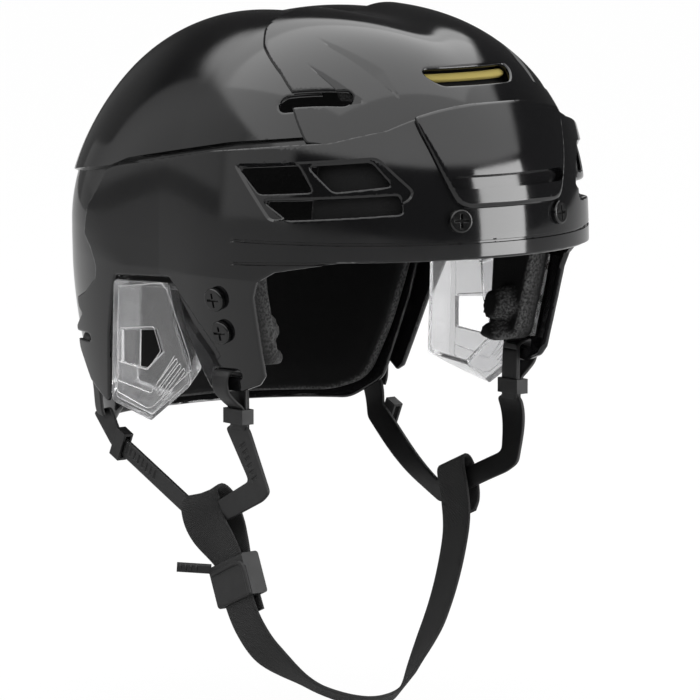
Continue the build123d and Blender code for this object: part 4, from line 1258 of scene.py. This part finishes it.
def fade(value, key):
    # 0 before the pair of numbers in the dictionary, 1 after it
    step = worldNodes.new("ShaderNodeMapRange")
    step.interpolation_type = "SMOOTHSTEP"
    worldLinks.new(value, step.inputs["Value"])
    step.inputs["From Min"].default_value, step.inputs["From Max"].default_value = studio[key]
    return step.outputs["Result"]


def makeGloss():
    # how bright the studio is in each direction
    direction = worldNodes.new("ShaderNodeSeparateXYZ")
    worldLinks.new(worldNodes.new("ShaderNodeTexCoord").outputs["Generated"], direction.inputs["Vector"])
    across, deep, high = direction.outputs
    left = times(across, -1.0)
    ceiling = fade(minus(high, times(larger(deep, 0.0), studio["ceilingLean"])), "ceilingFade")
    ceiling = times(times(ceiling, studio["ceiling"]), minus(1.0, fade(across, "rightFade")))
    wall = times(fade(left, "wallFade"), minus(fade(deep, "wallFront"), fade(deep, "wallEnd")))
    back = times(fade(deep, "backFade"), studio["back"])
    leaning = plus(across, times(fade(high, "rearLeanFade"), studio["rearLean"]))
    rear = times(minus(1.0, fade(leaning, "rearEnd")), fade(deep, "rearFade"))
    rearLevel = plus(studio["rearHigh"], times(fade(left, "rearSideFade"), studio["rearSide"]))
    rearLevel = larger(times(rearLevel, fade(high, "rearHighFade")), studio["rear"])
    brightest = larger(larger(ceiling, times(wall, studio["wall"])), back)
    return plus(larger(times(rear, rearLevel), brightest), studio["dark"])


def makeStudio():
    ray = worldNodes.new("ShaderNodeLightPath").outputs
    seen = larger(ray["Is Camera Ray"], ray["Is Transmission Ray"])
    shine = times(ray["Is Glossy Ray"], makeGloss())
    fill = times(ray["Is Diffuse Ray"], studio["fill"])
    strength = plus(seen, times(plus(shine, fill), minus(1.0, seen)))
    worldLinks.new(strength, worldNodes["Background"].inputs["Strength"])
    worldNodes["Background"].inputs["Color"].default_value = (1, 1, 1, 1)


makeStudio()
bpy.context.scene.view_settings.view_transform = "Standard"

# Floor: pale, nearly white to the camera, so that only a faint shadow shows
ground = {"reach": 6.0, "level": -0.2245, "pale": 0.9, "rough": 0.9, "share": 0.93, "glow": 1.03}


def makeFloorMaterial():
    material, tree, shader = newMaterial("floorPale")
    shader.inputs["Base Color"].default_value = (ground["pale"], ground["pale"], ground["pale"], 1)
    shader.inputs["Roughness"].default_value = ground["rough"]
    glow = tree.nodes.new("ShaderNodeEmission")
    glow.inputs["Strength"].default_value = ground["glow"]
    mix = tree.nodes.new("ShaderNodeMixShader")
    ray = tree.nodes.new("ShaderNodeLightPath")
    share = tree.nodes.new("ShaderNodeMath")
    share.operation = "MULTIPLY"
    share.inputs[1].default_value = ground["share"]
    tree.links.new(ray.outputs["Is Camera Ray"], share.inputs[0])
    tree.links.new(share.outputs[0], mix.inputs[0])
    tree.links.new(shader.outputs[0], mix.inputs[1])
    tree.links.new(glow.outputs[0], mix.inputs[2])
    tree.links.new(mix.outputs[0], tree.nodes["Material Output"].inputs["Surface"])
    return material


floorMesh = bpy.data.meshes.new("floor")
corners = [(x * ground["reach"], y * ground["reach"], ground["level"])
           for x, y in ((-1, -1), (1, -1), (1, 1), (-1, 1))]
floorMesh.from_pydata(corners, [], [(0, 1, 2, 3)])
floorMesh.materials.append(makeFloorMaterial())
floor = bpy.data.objects.new("floor", floorMesh)
bpy.context.scene.collection.objects.link(floor)
print("studio and floor")
